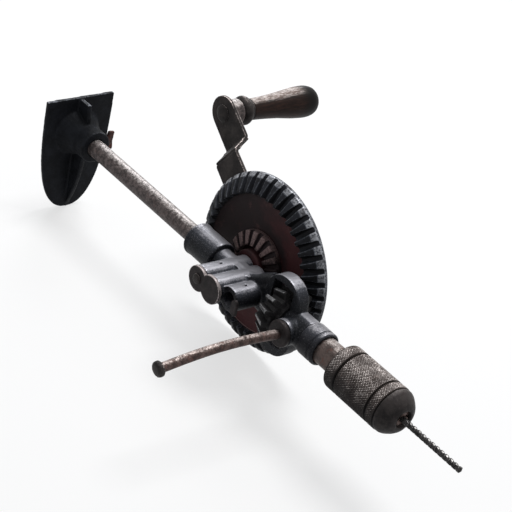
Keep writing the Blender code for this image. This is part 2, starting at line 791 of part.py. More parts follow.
def side_rod_places():
    """(y, z) along the rod: straight in the boss, then arched and drooping to its end."""
    straight = -SIDE_BOSS_REACH - SIDE_COLLAR_LENGTH - GAP * 3
    places = [(-SIDE_ROD_INNER_REACH, 0), (straight, 0)]
    bends = 12
    for i in range(1, bends + 1):
        share = i / bends
        rise = SIDE_ROD_BOW * math.sin(math.pi * share) - SIDE_ROD_DROP * share
        places.append((straight + (-SIDE_ROD_REACH - straight) * share, rise))
    return places


def make_side_rod(metal, parent):
    data = bpy.data.curves.new("rod", "CURVE")
    data.dimensions = "3D"
    data.bevel_depth = SIDE_ROD_RADIUS
    data.bevel_resolution = 3
    data.use_fill_caps = True
    data.resolution_u = 1
    spline = data.splines.new("POLY")
    places = side_rod_places()
    spline.points.add(len(places) - 1)
    for place, (y, z) in zip(spline.points, places):
        place.co = (SIDE_BOSS_X, y, z, 1)
    made = bpy.data.objects.new("rod", data)
    PARTS.objects.link(made)
    made = oriented(baked(evaluated(made)))
    return finish(made, "side_handle_rod", metal, (SIDE_BOSS_X, 0, 0), parent)


def make_side_cap(metal, parent):
    """A domed cap in line with the rod's bent end."""
    (y0, z0), (y1, z1) = side_rod_places()[-2:]
    start = SIDE_CAP_LENGTH / 2
    inner = SIDE_ROD_RADIUS + GAP
    dome_shares = ((1.0, 0.0), (0.94, 0.45), (0.68, 0.86), (0.0, 1.0))
    radius = SIDE_CAP_RADIUS
    profile = [(0, -GAP), (inner, -GAP), (inner, start), (radius - SIDE_CAP_EDGE, start)]
    profile.append((radius, start - SIDE_CAP_EDGE))
    profile += [(radius * r, -GAP - start * d) for r, d in dome_shares]
    cap = turned("cap", "Y", profile, steps=STEPS_SMALL, ring=True)
    tilt = math.atan2(z0 - z1, y0 - y1)
    cap.matrix_world = Matrix.Translation((SIDE_BOSS_X, y1, z1)) @ Matrix.Rotation(tilt, 4, "X")
    return finish(oriented(baked(cap)), "side_handle_cap", metal, (SIDE_BOSS_X, 0, 0), parent)


# Latch
def lobe_outline():
    """A disc over the middle boss and a lobe over the axle's end, which meet in two sharp notches."""
    disc = (MIDDLE_BOSS_X, 0)
    lobe = (AXLE_X, 0)
    at_disc = notch_angle(LATCH_DISC_RADIUS, LATCH_LOBE_RADIUS)
    at_lobe = notch_angle(LATCH_LOBE_RADIUS, LATCH_DISC_RADIUS)
    points = arc(disc, LATCH_DISC_RADIUS, at_disc - 180, 180 - at_disc, STEPS_SMALL)
    points += arc(lobe, LATCH_LOBE_RADIUS, at_lobe, 360 - at_lobe, STEPS_SMALL)[1:-1]
    return points


def notch_angle(near, far):
    """Where two circles one boss pitch apart cross, in degrees about the centre of the near one."""
    cosine = (BOSS_PITCH ** 2 + near ** 2 - far ** 2) / (2 * BOSS_PITCH * near)
    return math.degrees(math.acos(cosine))


def make_latch_plate(metal, parent):
    outer = LATCH_FACE - LATCH_THICKNESS
    plate = sheet_along_y("plate", lobe_outline(), outer, LATCH_FACE)
    bevel(plate, LATCH_EDGE_BEVEL, angle=FLAT_EDGE)
    reach = BOSS_OUTER_REACH + LATCH_THICKNESS + OVERRUN
    pin_hole = rod("pin_hole", "Y", LATCH_PIN_RADIUS + GAP, -reach, 0, (MIDDLE_BOSS_X, 0, 0), STEPS_SMALL)
    button_hole = rod("button_hole", "Y", BUTTON_RADIUS / 2 + GAP, -reach, 0, (AXLE_X, 0, 0), STEPS_SMALL)
    cut(plate, pin_hole, button_hole)
    return finish(plate, "latch_plate", metal, (MIDDLE_BOSS_X, LATCH_FACE, 0), parent)


def make_latch_button(metal, parent):
    outer = LATCH_FACE - LATCH_THICKNESS - GAP
    dome_shares = ((1.0, 0.0), (0.92, 0.45), (0.66, 0.80), (0.34, 0.96), (0.0, 1.0))
    profile = [(0, LATCH_FACE), (BUTTON_RADIUS / 2, LATCH_FACE), (BUTTON_RADIUS / 2, outer)]
    profile += [(BUTTON_RADIUS * r, outer - BUTTON_HEIGHT * d) for r, d in dome_shares]
    button = turned("button", "Y", profile, (AXLE_X, 0, 0), STEPS_SMALL)
    return finish(oriented(button), "latch_button", metal, (MIDDLE_BOSS_X, LATCH_FACE, 0), parent)


def make_latch_pin(metal, parent):
    outer = LATCH_FACE - LATCH_THICKNESS
    inner = LATCH_FACE + LATCH_PIN_LENGTH - GAP
    pin = rod("pin", "Y", LATCH_PIN_RADIUS, outer, inner, (MIDDLE_BOSS_X, 0, 0), STEPS_SMALL)
    return finish(pin, "latch_pin", metal, (MIDDLE_BOSS_X, 0, 0), parent)


def make_latch_stop(metal, parent):
    """A small round-topped tab on the face of the boss that holds the axle at low speed."""
    face = SHORT_BOSS_STEP - BOSS_OUTER_REACH - GAP
    left = LOW_BOSS_X + STOP_SHIFT
    low = -STOP_DROP
    top = low + STOP_HEIGHT
    half = STOP_WIDTH / 2
    points = [(left, low), (left + STOP_WIDTH, low)]
    points += arc((left + half, top - half), half, 0, 180, 8)
    stop = sheet_along_y("stop", points, face - STOP_THICKNESS, face)
    bevel(stop, LATCH_EDGE_BEVEL, angle=FLAT_EDGE)
    return finish(stop, "latch_stop", metal, (0, 0, 0), parent)


# Bevel teeth
def cone_point(height, scale, gear):
    """Radius and distance from the apex plane, at a height over the pitch cone."""
    sine = math.sin(CONE_ANGLE)
    cosine = math.cos(CONE_ANGLE)
    if gear:
        radius = GEAR_PITCH_RADIUS + height * cosine
        depth = PINION_PITCH_RADIUS - height * sine
    else:
        radius = PINION_PITCH_RADIUS + height * sine
        depth = GEAR_PITCH_RADIUS - height * cosine
    return radius * scale, depth * scale


def gear_half_thickness(height):
    return MODULE * math.pi / 4 - height * math.tan(PRESSURE_ANGLE) - BACKLASH / 4


def involute(angle):
    return math.tan(angle) - angle


def pinion_half_thickness(height):
    """Half a pinion tooth's thickness, from the involute of its virtual spur gear."""
    virtual = PINION_PITCH_RADIUS / math.sin(CONE_ANGLE)
    base = virtual * math.cos(PRESSURE_ANGLE)
    radius = virtual + height
    flank_radius = max(radius, base)
    half_angle = MODULE * math.pi / 4 / virtual
    half_angle += involute(PRESSURE_ANGLE) - involute(math.acos(base / flank_radius))
    return radius * half_angle - BACKLASH / 4


def tooth_loop(teeth, turn, heights, half_widths, radius_of, place):
    """Points round a toothed section: up one flank of each tooth and down the other."""
    loop = []
    for tooth in range(teeth):
        middle = turn + 2 * math.pi * tooth / teeth
        for height, half in zip(heights, half_widths):
            radius, depth = radius_of(height)
            loop.append(place(radius, depth, middle - half / radius))
        for height, half in zip(heights[::-1], half_widths[::-1]):
            radius, depth = radius_of(height)
            loop.append(place(radius, depth, middle + half / radius))
    return loop


def on_gear(radius, depth, angle):
    return (AXLE_X + radius * math.cos(angle), depth, radius * math.sin(angle))


def on_pinion(radius, depth, angle):
    return (AXLE_X + depth, radius * math.cos(angle), radius * math.sin(angle))


def ring_loop(loop, radius, depth, centre_x=AXLE_X):
    """The points of a loop on the gear's axis moved to one radius and depth, at their own angles."""
    moved = []
    for x, _, z in loop:
        angle = math.atan2(z, x - centre_x)
        moved.append(on_gear(radius, depth, angle))
    return moved


def gear_tooth_ring():
    """The outer ring: teeth that get shallower outwards, then a bevelled rim."""
    inner_heights = (-DEDENDUM, ADDENDUM)
    outer_heights = (-DEDENDUM, ADDENDUM - TIP_DROP)

    def section(scale, heights):
        widths = [gear_half_thickness(height) * scale for height in heights]

        def radius_of(height):
            return cone_point(height, scale, True)

        return tooth_loop(GEAR_TEETH, GEAR_TURN, heights, widths, radius_of, on_gear)

    inner = section(INNER_SCALE, inner_heights)
    outer = section(1.0, outer_heights)
    tip_depth = cone_point(ADDENDUM - TIP_DROP, 1.0, True)[1]
    root_depth = cone_point(-DEDENDUM, 1.0, True)[1]
    rim = []
    for x, y, z in outer:
        tip = y < (tip_depth + root_depth) / 2
        depth = PINION_PITCH_RADIUS + (RIM_TIP_DEPTH if tip else RIM_ROOT_DEPTH)
        rim.append(on_gear(GEAR_OUTER_RADIUS, depth, math.atan2(z, x - AXLE_X)))
    back_bevel = RIM_RISE / 3
    inner_root_radius, inner_root_depth = cone_point(-DEDENDUM, INNER_SCALE, True)
    seat_radius = inner_root_radius - MODULE
    loops = [
        outer,
        rim,
        ring_loop(outer, GEAR_OUTER_RADIUS, GEAR_BACK - back_bevel),
        ring_loop(outer, GEAR_OUTER_RADIUS - back_bevel, GEAR_BACK),
        ring_loop(outer, seat_radius, GEAR_BACK),
        ring_loop(outer, seat_radius, inner_root_depth + MODULE / 2),
        inner,
    ]
    return loft("tooth_ring", loops)


def low_tooth_ring():
    """The ring of coarse teeth near the hub, on the same slope as the pinion, one axle place back."""
    outer_radius = LOW_OUTER_RADIUS
    inner_radius = LOW_INNER_RADIUS
    tip_outer = (PINION_PITCH_RADIUS - ADDENDUM) * LOW_OUTER_SHARE
    tip_inner = (PINION_PITCH_RADIUS - ADDENDUM) * LOW_INNER_SHARE

    def section(radius, tip):
        half_root = MODULE * math.pi / 4 * radius / outer_radius + BACKLASH
        half_tip = half_root - LOW_GEAR_TOOTH_DEPTH * math.tan(PRESSURE_ANGLE)

        def radius_of(share):
            return radius, tip + LOW_GEAR_TOOTH_DEPTH * (1 - share)

        return tooth_loop(LOW_GEAR_TEETH, 0, (0, 1), (half_root, half_tip), radius_of, on_gear)

    outer = section(outer_radius, tip_outer)
    inner = section(inner_radius, tip_inner)
    seat = DISC_FRONT + DISC_THICKNESS / 2
    loops = [outer, ring_loop(outer, outer_radius, seat), ring_loop(outer, inner_radius, seat), inner]
    return loft("low_tooth_ring", loops)


def gear_disc():
    """The dished disc and hub that carry both tooth rings."""
    root_radius, root_depth = cone_point(-DEDENDUM, INNER_SCALE, True)
    rim_radius = root_radius - MODULE / 2
    rim_depth = root_depth + MODULE / 2 + GAP
    hub_front = BOSS_INNER_REACH + GEAR_HUB_FRONT_GAP
    hub_back = GEAR_BACK + GEAR_HUB_BACK_RISE
    bore = AXLE_RADIUS + GAP
    back = DISC_FRONT + DISC_THICKNESS
    return turned("disc", "Y", [
        (bore, hub_front),
        (GEAR_HUB_RADIUS, hub_front),
        (GEAR_HUB_RADIUS, DISC_FRONT - DISC_THICKNESS / 2),
        (LOW_OUTER_RADIUS + MODULE, DISC_FRONT),
        (rim_radius, rim_depth),
        (rim_radius, back),
        (rim_radius - DISC_THICKNESS, back),
        (GEAR_HUB_RADIUS + DISC_THICKNESS, back),
        (GEAR_HUB_RADIUS + DISC_THICKNESS / 2, hub_back),
        (bore, hub_back),
    ], (AXLE_X, 0, 0), STEPS_GEAR, ring=True)


def make_crank_gear(metal, parent):
    gear = gear_tooth_ring()
    join(gear, gear_disc(), low_tooth_ring())
    return finish(gear, "crank_gear", metal, (AXLE_X, 0, 0), parent, 30)


def make_pinion(metal, parent):
    heights = (-DEDENDUM, -DEDENDUM / 2, ADDENDUM / 4, ADDENDUM)
    widths = [pinion_half_thickness(height) for height in heights]
    widths[0] *= PINION_ROOT_SHARE
    turn = GEAR_TURN * GEAR_TEETH / PINION_TEETH + math.pi / PINION_TEETH

    def section(scale):
        scaled = [width * scale for width in widths]

        def radius_of(height):
            return cone_point(height, scale, False)

        return tooth_loop(PINION_TEETH, turn, heights, scaled, radius_of, on_pinion)

    heel = section(PINION_HEEL_SHARE)
    toe = section(PINION_TOE_SHARE)
    front_x = AXLE_X + cone_point(ADDENDUM, PINION_TOE_SHARE, False)[1] - FINE_GAP
    front = [(front_x, y * PINION_FRONT_SHARE, z * PINION_FRONT_SHARE) for _, y, z in toe]
    root_radius, root_depth = cone_point(-DEDENDUM, PINION_HEEL_SHARE, False)
    back_apex = AXLE_X + root_depth + root_radius / math.tan(CONE_ANGLE)
    share = PINION_BACK_SHARE
    back = [(back_apex + (x - back_apex) * share, y * share, z * share) for x, y, z in heel]
    pinion = capped_loft("pinion", [front, toe, heel, back])
    collar = rod("collar", "X", PINION_COLLAR_RADIUS, PINION_TOE, PINION_END)
    join(pinion, collar)
    bore = rod("bore", "X", SPINDLE_RADIUS + GAP, AXLE_X, PINION_END + OVERRUN, steps=STEPS_SMALL)
    cut(pinion, bore, pinion_pin_hole())
    return finish(pinion, "pinion", metal, (0, 0, 0), parent)


def pinion_pin_hole():
    reach = PINION_TIP_RADIUS + OVERRUN
    return rod("pin_hole", "Z", PINION_PIN_RADIUS + GAP, -reach, reach, (PINION_PIN_X, 0, 0), STEPS_PIN)


def make_pinion_pin(metal, parent):
    reach = SPINDLE_RADIUS + PINION_BORE_WALL
    pin = rod("pin", "Z", PINION_PIN_RADIUS, -reach, reach, (PINION_PIN_X, 0, 0), STEPS_PIN)
    return finish(pin, "pinion_pin", metal, (0, 0, 0), parent)


# Crank
def make_gear_axle(metal, parent):
    start = -BOSS_OUTER_REACH + GAP
    end = ARM_BACK + ARM_NUT_HEIGHT + AXLE_END_RISE
    chamfer = AXLE_END_RISE / 2
    axle = turned("axle", "Y", [
        (0, start),
        (AXLE_RADIUS - chamfer, start),
        (AXLE_RADIUS, start + chamfer),
        (AXLE_RADIUS, end - chamfer),
        (AXLE_RADIUS - chamfer, end),
        (0, end),
    ], (AXLE_X, 0, 0))
    return finish(axle, "gear_axle", metal, (AXLE_X, 0, 0), parent)


def arm_half_width(radius):
    """Half the arm's width at a distance from the axle, wide at the hub and narrow at the grip."""
    places = (0.0, ARM_JOGGLE_INNER, CRANK_RADIUS)
    halves = (ARM_HUB_RADIUS, ARM_BEND_HALF_WIDTH, ARM_END_RADIUS)
    return float(np.interp(radius, places, halves))


def arm_centre(radius):
    """Depth of the arm's middle at a distance from the axle: flat, then a joggle, then flat."""
    share = (radius - ARM_JOGGLE_INNER) / (ARM_JOGGLE_OUTER - ARM_JOGGLE_INNER)
    return ARM_FRONT + ARM_THICKNESS / 2 + ARM_JOGGLE * min(max(share, 0), 1)


def arm_stations():
    """Distances from the axle where the arm's edge has points, with its half width there."""
    stations = []
    ends = 7
    for i in range(ends):
        angle = math.pi / 2 * (1 - i / ends)
        stations.append((-ARM_HUB_RADIUS * math.sin(angle), ARM_HUB_RADIUS * math.cos(angle)))
    for radius in (0, ARM_JOGGLE_INNER, ARM_JOGGLE_OUTER, CRANK_RADIUS):
        stations.append((radius, arm_half_width(radius)))
    for i in range(1, ends + 1):
        angle = math.pi / 2 * i / ends
        stations.append((CRANK_RADIUS + ARM_END_RADIUS * math.sin(angle), ARM_END_RADIUS * math.cos(angle)))
    return [(place, max(half, ARM_THICKNESS / 4)) for place, half in stations]


def make_crank_arm(metal, parent):
    """A flat bar with round ends and a joggle, which clears the gear's rim."""
    along = Vector((math.cos(CRANK_ANGLE), 0, math.sin(CRANK_ANGLE)))
    across = Vector((-math.sin(CRANK_ANGLE), 0, math.cos(CRANK_ANGLE)))
    depth = Vector((0, 1, 0))
    hub = Vector((AXLE_X, 0, 0))
    loops = []
    for place, half in arm_stations():
        joggled = ARM_JOGGLE_INNER <= place <= ARM_JOGGLE_OUTER
        lean = ARM_LEAN if joggled else 0
        front = hub + along * (place + lean) + depth * (arm_centre(place) - ARM_THICKNESS / 2)
        back = hub + along * (place - lean) + depth * (arm_centre(place) + ARM_THICKNESS / 2)
        side = across * half
        loops.append([front - side, front + side, back + side, back - side])
    arm = capped_loft("arm", loops)
    bevel(arm, ARM_EDGE_BEVEL, angle=SHALLOW_EDGE)
    axle_hole = rod("axle_hole", "Y", AXLE_RADIUS + GAP, 0, ARM_END_BACK, (AXLE_X, 0, 0))
    place = (GRIP_X, 0, GRIP_Z)
    pin_hole = rod("pin_hole", "Y", GRIP_PIN_RADIUS + GAP, 0, ARM_END_BACK + OVERRUN, place, STEPS_SMALL)
    cut(arm, axle_hole, pin_hole)
    return finish(arm, "crank_arm", metal, (AXLE_X, 0, 0), parent, 30)


def make_arm_nut(metal, parent):
    start = ARM_BACK + GAP
    end = start + ARM_NUT_HEIGHT
    nut = rod("nut", "Y", ARM_NUT_RADIUS, start, end, (AXLE_X, 0, 0), NUT_SIDES)
    bevel(nut, AXLE_END_RISE / 2, angle=FLAT_EDGE)
    hole = rod("hole", "Y", AXLE_RADIUS + GAP, start - OVERRUN, end + OVERRUN, (AXLE_X, 0, 0))
    cut(nut, hole)
    return finish(nut, "crank_nut", metal, (AXLE_X, 0, 0), parent)


def make_grip_pin(metal, parent):
    """The pin that the grip turns on: a domed head at the arm and a flat one sunk in the grip's end."""
    front = ARM_END_FRONT - GAP
    end = GRIP_END - GRIP_END_RECESS + GAP
    dome_shares = ((0.0, 1.0), (0.42, 0.96), (0.78, 0.66), (1.0, 0.0))
    profile = [(GRIP_HEAD_RADIUS * r, front - GRIP_HEAD_HEIGHT * d) for r, d in dome_shares]
    profile += [
        (GRIP_PIN_RADIUS, front),
        (GRIP_PIN_RADIUS, end),
        (GRIP_END_RADIUS, end),
        (GRIP_END_RADIUS, end + GRIP_HEAD_HEIGHT),
        (0, end + GRIP_HEAD_HEIGHT),
    ]
    pin = turned("pin", "Y", profile, (GRIP_X, 0, GRIP_Z), STEPS_SMALL)
    return finish(pin, "grip_pin", metal, (GRIP_X, 0, GRIP_Z), parent)


def make_grip_spacer(metal, parent):
    inner = GRIP_PIN_RADIUS + GAP
    end = SPACER_START + SPACER_LENGTH
    edge = SPACER_RADIUS / 12
    spacer = turned("spacer", "Y", [
        (inner, SPACER_START),
        (SPACER_RADIUS, SPACER_START),
        (SPACER_RADIUS, end - edge),
        (SPACER_RADIUS - edge, end),
        (inner, end),
    ], (GRIP_X, 0, GRIP_Z), STEPS_GRIP, ring=True)
    return finish(spacer, "grip_spacer", metal, (GRIP_X, 0, GRIP_Z), parent)


def make_grip_ferrule(metal, parent):
    inner = GRIP_PIN_RADIUS + GAP
    bead = FERRULE_LENGTH * FERRULE_BEAD_SHARE
    end = FERRULE_START + FERRULE_LENGTH
    profile = [(inner, FERRULE_START), (FERRULE_NECK_RADIUS, FERRULE_START)]
    steps = 6
    for i in range(1, steps):
        bulge = math.sin(math.pi * i / steps)
        radius = FERRULE_NECK_RADIUS + (FERRULE_BEAD_RADIUS - FERRULE_NECK_RADIUS) * bulge
        profile.append((radius, FERRULE_START + bead * i / steps))
    profile += [
        (FERRULE_NECK_RADIUS, FERRULE_START + bead),
        (FERRULE_NECK_RADIUS, end - FERRULE_NECK_RADIUS / 8),
        (FERRULE_NECK_RADIUS - FERRULE_NECK_RADIUS / 8, end),
        (inner, end),
    ]
    ferrule = turned("ferrule", "Y", profile, (GRIP_X, 0, GRIP_Z), STEPS_GRIP, ring=True)
    return finish(ferrule, "grip_ferrule", metal, (GRIP_X, 0, GRIP_Z), parent)


def make_wooden_grip(wood, parent):
    inner = GRIP_PIN_RADIUS + GAP
    length_shares = (0.0, 0.12, 0.28, 0.45, 0.62, 0.74, 0.84, 0.92, 0.97, 1.0)
    swell_shares = (0.0, 0.06, 0.22, 0.48, 0.82, 0.98, 1.0, 0.78, 0.36, -0.25)
    profile = [(inner, GRIP_START)]
    for length, swell in zip(length_shares, swell_shares):
        radius = GRIP_SMALL_RADIUS + (GRIP_LARGE_RADIUS - GRIP_SMALL_RADIUS) * swell
        profile.append((radius, GRIP_START + GRIP_LENGTH * length))
    head = GRIP_END_RADIUS + GAP
    profile += [(head, GRIP_END), (head, GRIP_END - GRIP_END_RECESS), (inner, GRIP_END - GRIP_END_RECESS)]
    grip = turned("grip", "Y", profile, (GRIP_X, 0, GRIP_Z), STEPS_GRIP, ring=True)
    return finish(grip, "wooden_grip", wood, (GRIP_X, 0, GRIP_Z), parent)


# Spindle and bearing
def make_spindle(metal, parent):
    tail = WINDOW_START - TAIL_LENGTH + GAP
    shoulder = WINDOW_START + GAP
    end = SHANK_START + SPINDLE_THREAD_LENGTH
    shaft = turned("shaft", "X", [
        (0, tail),
        (TAIL_RADIUS, tail),
        (TAIL_RADIUS, shoulder),
        (SPINDLE_RADIUS, shoulder),
        (SPINDLE_RADIUS, end),
        (0, end),
    ], steps=STEPS_GRIP)
    cut(shaft, pinion_pin_hole())
    return finish(shaft, "spindle", metal, (0, 0, 0), parent)


def make_bearing_cup(metal, parent):
    start = HUB_END + GAP
    end = start + BEARING_CUP_LENGTH
    inner = SHANK_RADIUS + CUP_CLEARANCE
    thread = SPIGOT_RADIUS + GAP
    seat = SPIGOT_END + GAP
    bead = BEARING_CUP_BEVEL
    cup = turned("cup", "X", [
        (thread, start),
        (BEARING_CUP_RADIUS - bead / 2, start),
        (BEARING_CUP_RADIUS, start + bead / 2),
        (BEARING_CUP_RADIUS, end - bead * 2),
        (BEARING_CUP_RADIUS - bead, end),
        (inner, end),
        (inner, seat + RACE_THICKNESS + BALL_RADIUS * 2 + GAP * 2),
        (thread, seat + RACE_THICKNESS + BALL_RADIUS * 2 + GAP),
    ], steps=STEPS, ring=True)
    return finish(cup, "bearing_cup", metal, (0, 0, 0), parent)


def make_thrust_race(metal, parent):
    inner = SPINDLE_RADIUS + GAP
    outer = SPIGOT_RADIUS - GAP
    end = RACE_START + RACE_THICKNESS
    profile = [(inner, RACE_START), (outer, RACE_START), (outer, end), (inner, end)]
    race = turned("race", "X", profile, steps=STEPS, ring=True)
    return finish(race, "thrust_race", metal, (0, 0, 0), parent)


def make_ball(index, metal, parent):
    circle = (SPINDLE_RADIUS + SPIGOT_RADIUS) / 2
    angle = 2 * math.pi * index / BALL_COUNT
    shape = bmesh.new()
    bmesh.ops.create_uvsphere(shape, u_segments=8, v_segments=6, radius=BALL_RADIUS)
    mesh = bpy.data.meshes.new("ball")
    shape.to_mesh(mesh)
    shape.free()
    ball = object_from("ball", mesh)
    ball.location = (BALL_X, circle * math.cos(angle), circle * math.sin(angle))
    baked(ball)
    return finish(ball, f"bearing_ball_{index + 1}", metal, (0, 0, 0), parent, 60)


# Chuck
def jaw_place(x, index):
    """The jaw's centre at a place along the axis, as a point."""
    offset = JAW_FRONT_OFFSET + (JAW_FRONT - x) * math.tan(JAW_TILT)
    angle = 2 * math.pi * index / JAW_COUNT + math.pi / 2
    return Vector((x, offset * math.cos(angle), offset * math.sin(angle)))


def jaw_rod(name, index, radius, start, end):
    """A cylinder on a jaw's sloping axis, between two places along the spindle."""
    low = jaw_place(start, index)
    high = jaw_place(end, index)
    made = rod(name, "Z", radius, 0, (high - low).length, steps=STEPS_SMALL)
    turn = (high - low).to_track_quat("Z", "Y").to_matrix().to_4x4()
    made.matrix_world = Matrix.Translation(low) @ turn
    return baked(made)


def nose_profile():
    straight = NOSE_LENGTH * NOSE_STRAIGHT_SHARE
    points = [(CHUCK_RADIUS - GAP, NOSE_START), (CHUCK_RADIUS - GAP, NOSE_START + straight)]
    full_drop = 1 - math.sqrt(1 - NOSE_ROUND_SHARE)
    steps = 7
    for i in range(1, steps + 1):
        share = i / steps
        drop = 1 - math.sqrt(1 - share * NOSE_ROUND_SHARE)
        radius = CHUCK_RADIUS + (NOSE_FRONT_RADIUS - CHUCK_RADIUS) * drop / full_drop
        points.append((radius, NOSE_START + straight + (NOSE_LENGTH - straight) * share))
    return points


def make_chuck_body(metal, parent):
    bore_end = SHANK_START + SPINDLE_THREAD_LENGTH + GAP
    bore = SPINDLE_RADIUS + GAP
    profile = [
        (bore, SHANK_START),
        (SHANK_RADIUS, SHANK_START),
        (SHANK_RADIUS, CHUCK_START),
        (CORE_RADIUS, CHUCK_START),
        (CORE_RADIUS, NOSE_START),
    ]
    profile += nose_profile()
    profile += [
        (MOUTH_RADIUS, NOSE_END),
        (MOUTH_FLOOR_RADIUS, NOSE_END - MOUTH_DEPTH),
        (0, NOSE_END - MOUTH_DEPTH),
        (0, bore_end),
        (bore, bore_end),
    ]
    body = turned("body", "X", profile, steps=STEPS_BODY, ring=True)
    rear = JAW_FRONT - JAW_LENGTH - JAW_TRAVEL - OVERRUN / 2
    bores = [jaw_rod("jaw_bore", i, JAW_RADIUS + GAP, rear, NOSE_END + OVERRUN) for i in range(JAW_COUNT)]
    shank_start = NOSE_END - BIT_SHANK - GAP * 2
    bores.append(rod("bit_bore", "X", BIT_RADIUS + GAP, shank_start, NOSE_END, steps=STEPS_SMALL))
    cut(body, *bores)
    return finish(body, "chuck_body", metal, (0, 0, 0), parent)


def make_rear_ring(metal, parent):
    inner = CORE_RADIUS + GAP
    end = CHUCK_START + REAR_RING_LENGTH
    ring = turned("ring", "X", [
        (inner, CHUCK_START),
        (CHUCK_RADIUS - REAR_RING_CHAMFER, CHUCK_START),
        (CHUCK_RADIUS, CHUCK_START + REAR_RING_CHAMFER / 2),
        (CHUCK_RADIUS, end - GROOVE_HALF_WIDTH),
        (CHUCK_RADIUS - GROOVE_DEPTH, end),
        (inner, end),
    ], steps=STEPS_LARGE, ring=True)
    return finish(ring, "chuck_rear_ring", metal, (0, 0, 0), parent)


def make_sleeve(metal, parent):
    start = SLEEVE_START
    end = SLEEVE_START + SLEEVE_LENGTH
    groove = end - SLEEVE_LENGTH * SLEEVE_RING_SHARE
    flange = end - SLEEVE_FLANGE_LENGTH
    wall = CHUCK_RADIUS - SLEEVE_WALL
    run = CORE_RADIUS + GAP
    sleeve = turned("sleeve", "X", [
        (wall, start),
        (CHUCK_RADIUS - GROOVE_DEPTH, start),
        (CHUCK_RADIUS, start + GROOVE_HALF_WIDTH),
        (CHUCK_RADIUS, groove - GROOVE_HALF_WIDTH),
        (CHUCK_RADIUS - GROOVE_DEPTH, groove),
        (CHUCK_RADIUS, groove + GROOVE_HALF_WIDTH),
        (CHUCK_RADIUS, end - GROOVE_HALF_WIDTH / 2),
        (CHUCK_RADIUS - GROOVE_DEPTH / 2, end),
        (run, end),
        (run, flange),
        (wall, flange),
    ], steps=STEPS_LARGE, ring=True)
    return finish(sleeve, "chuck_sleeve", metal, (0, 0, 0), parent)


def nut_inner(x):
    offset = JAW_FRONT_OFFSET + (JAW_FRONT - x) * math.tan(JAW_TILT)
    return max(offset + JAW_RADIUS / math.cos(JAW_TILT), CORE_RADIUS) + GAP


def make_jaw_nut(metal, parent):
    end = SLEEVE_START + SLEEVE_LENGTH - SLEEVE_FLANGE_LENGTH - GAP
    start = end - NUT_LENGTH
    outer = CHUCK_RADIUS - SLEEVE_WALL - NUT_WALL_CLEARANCE
    nut = turned("nut", "X", [
        (nut_inner(start), start), (outer, start), (outer, end), (nut_inner(end), end),
    ], steps=STEPS_BODY, ring=True)
    return finish(nut, "jaw_nut", metal, (0, 0, 0), parent)


def make_jaw(index, metal, parent):
    jaw = jaw_rod("jaw", index, JAW_RADIUS, JAW_FRONT - JAW_LENGTH, JAW_FRONT)
    start = JAW_FRONT - JAW_LENGTH * 2
    end = JAW_FRONT + JAW_LENGTH
    grip = rod("grip", "X", BIT_RADIUS + FINE_GAP, start, end, steps=STEPS_SMALL)
    cut(jaw, grip)
    return finish(jaw, f"jaw_{index + 1}", metal, (0, 0, 0), parent)


# Bit
def bit_section(x, turn, radius):
    """A round section with two hollow flutes."""
    loop = []
    for i in range(BIT_SECTION_POINTS):
        angle = 2 * math.pi * i / BIT_SECTION_POINTS
        flute = max(0.0, math.cos(2 * angle)) ** BIT_FLUTE_POWER
        local = radius * (1 - (1 - BIT_WEB_SHARE) * flute)
        loop.append((x, local * math.cos(angle + turn), local * math.sin(angle + turn)))
    return loop


def round_section(x, radius):
    step = 2 * math.pi / BIT_SECTION_POINTS
    return [(x, radius * math.cos(step * i), radius * math.sin(step * i)) for i in range(BIT_SECTION_POINTS)]


def make_bit(metal, parent):
    back = NOSE_END - BIT_SHANK
    flute_start = NOSE_END + BIT_RADIUS
    point = BIT_RADIUS / math.tan(BIT_POINT_ANGLE)
    flute_end = BIT_TIP - point
    loops = [round_section(back, BIT_RADIUS), round_section(flute_start, BIT_RADIUS)]
    for i in range(1, BIT_STATIONS + 1):
        x = flute_start + (flute_end - flute_start) * i / BIT_STATIONS
        loops.append(bit_section(x, 2 * math.pi * (x - flute_start) / BIT_FLUTE_PITCH, BIT_RADIUS))
    last_turn = 2 * math.pi * (flute_end - flute_start) / BIT_FLUTE_PITCH
    loops.append(bit_section(BIT_TIP, last_turn, BIT_CHISEL_RADIUS))
    return finish(capped_loft("bit", loops), "twist_bit", metal, (0, 0, 0), parent, 50)


# The whole drill
def make_materials():
    return {
        "black_iron": material("black_iron", (0.035, 0.040, 0.050), 0.55, 0.35),
        "maroon_gear": material("maroon_gear", (0.080, 0.035, 0.037), 0.60, 0.30),
        "rusty_steel": material("rusty_steel", (0.260, 0.205, 0.175), 0.55, 0.75),
        "dark_steel": material("dark_steel", (0.085, 0.080, 0.078), 0.50, 0.80),
        "bright_steel": material("bright_steel", (0.420, 0.400, 0.380), 0.38, 0.95),
        "knurled_steel": material("knurled_steel", (0.190, 0.160, 0.145), 0.55, 0.80),
        "dark_wood": material("dark_wood", (0.100, 0.050, 0.030), 0.60, 0.0),
    }


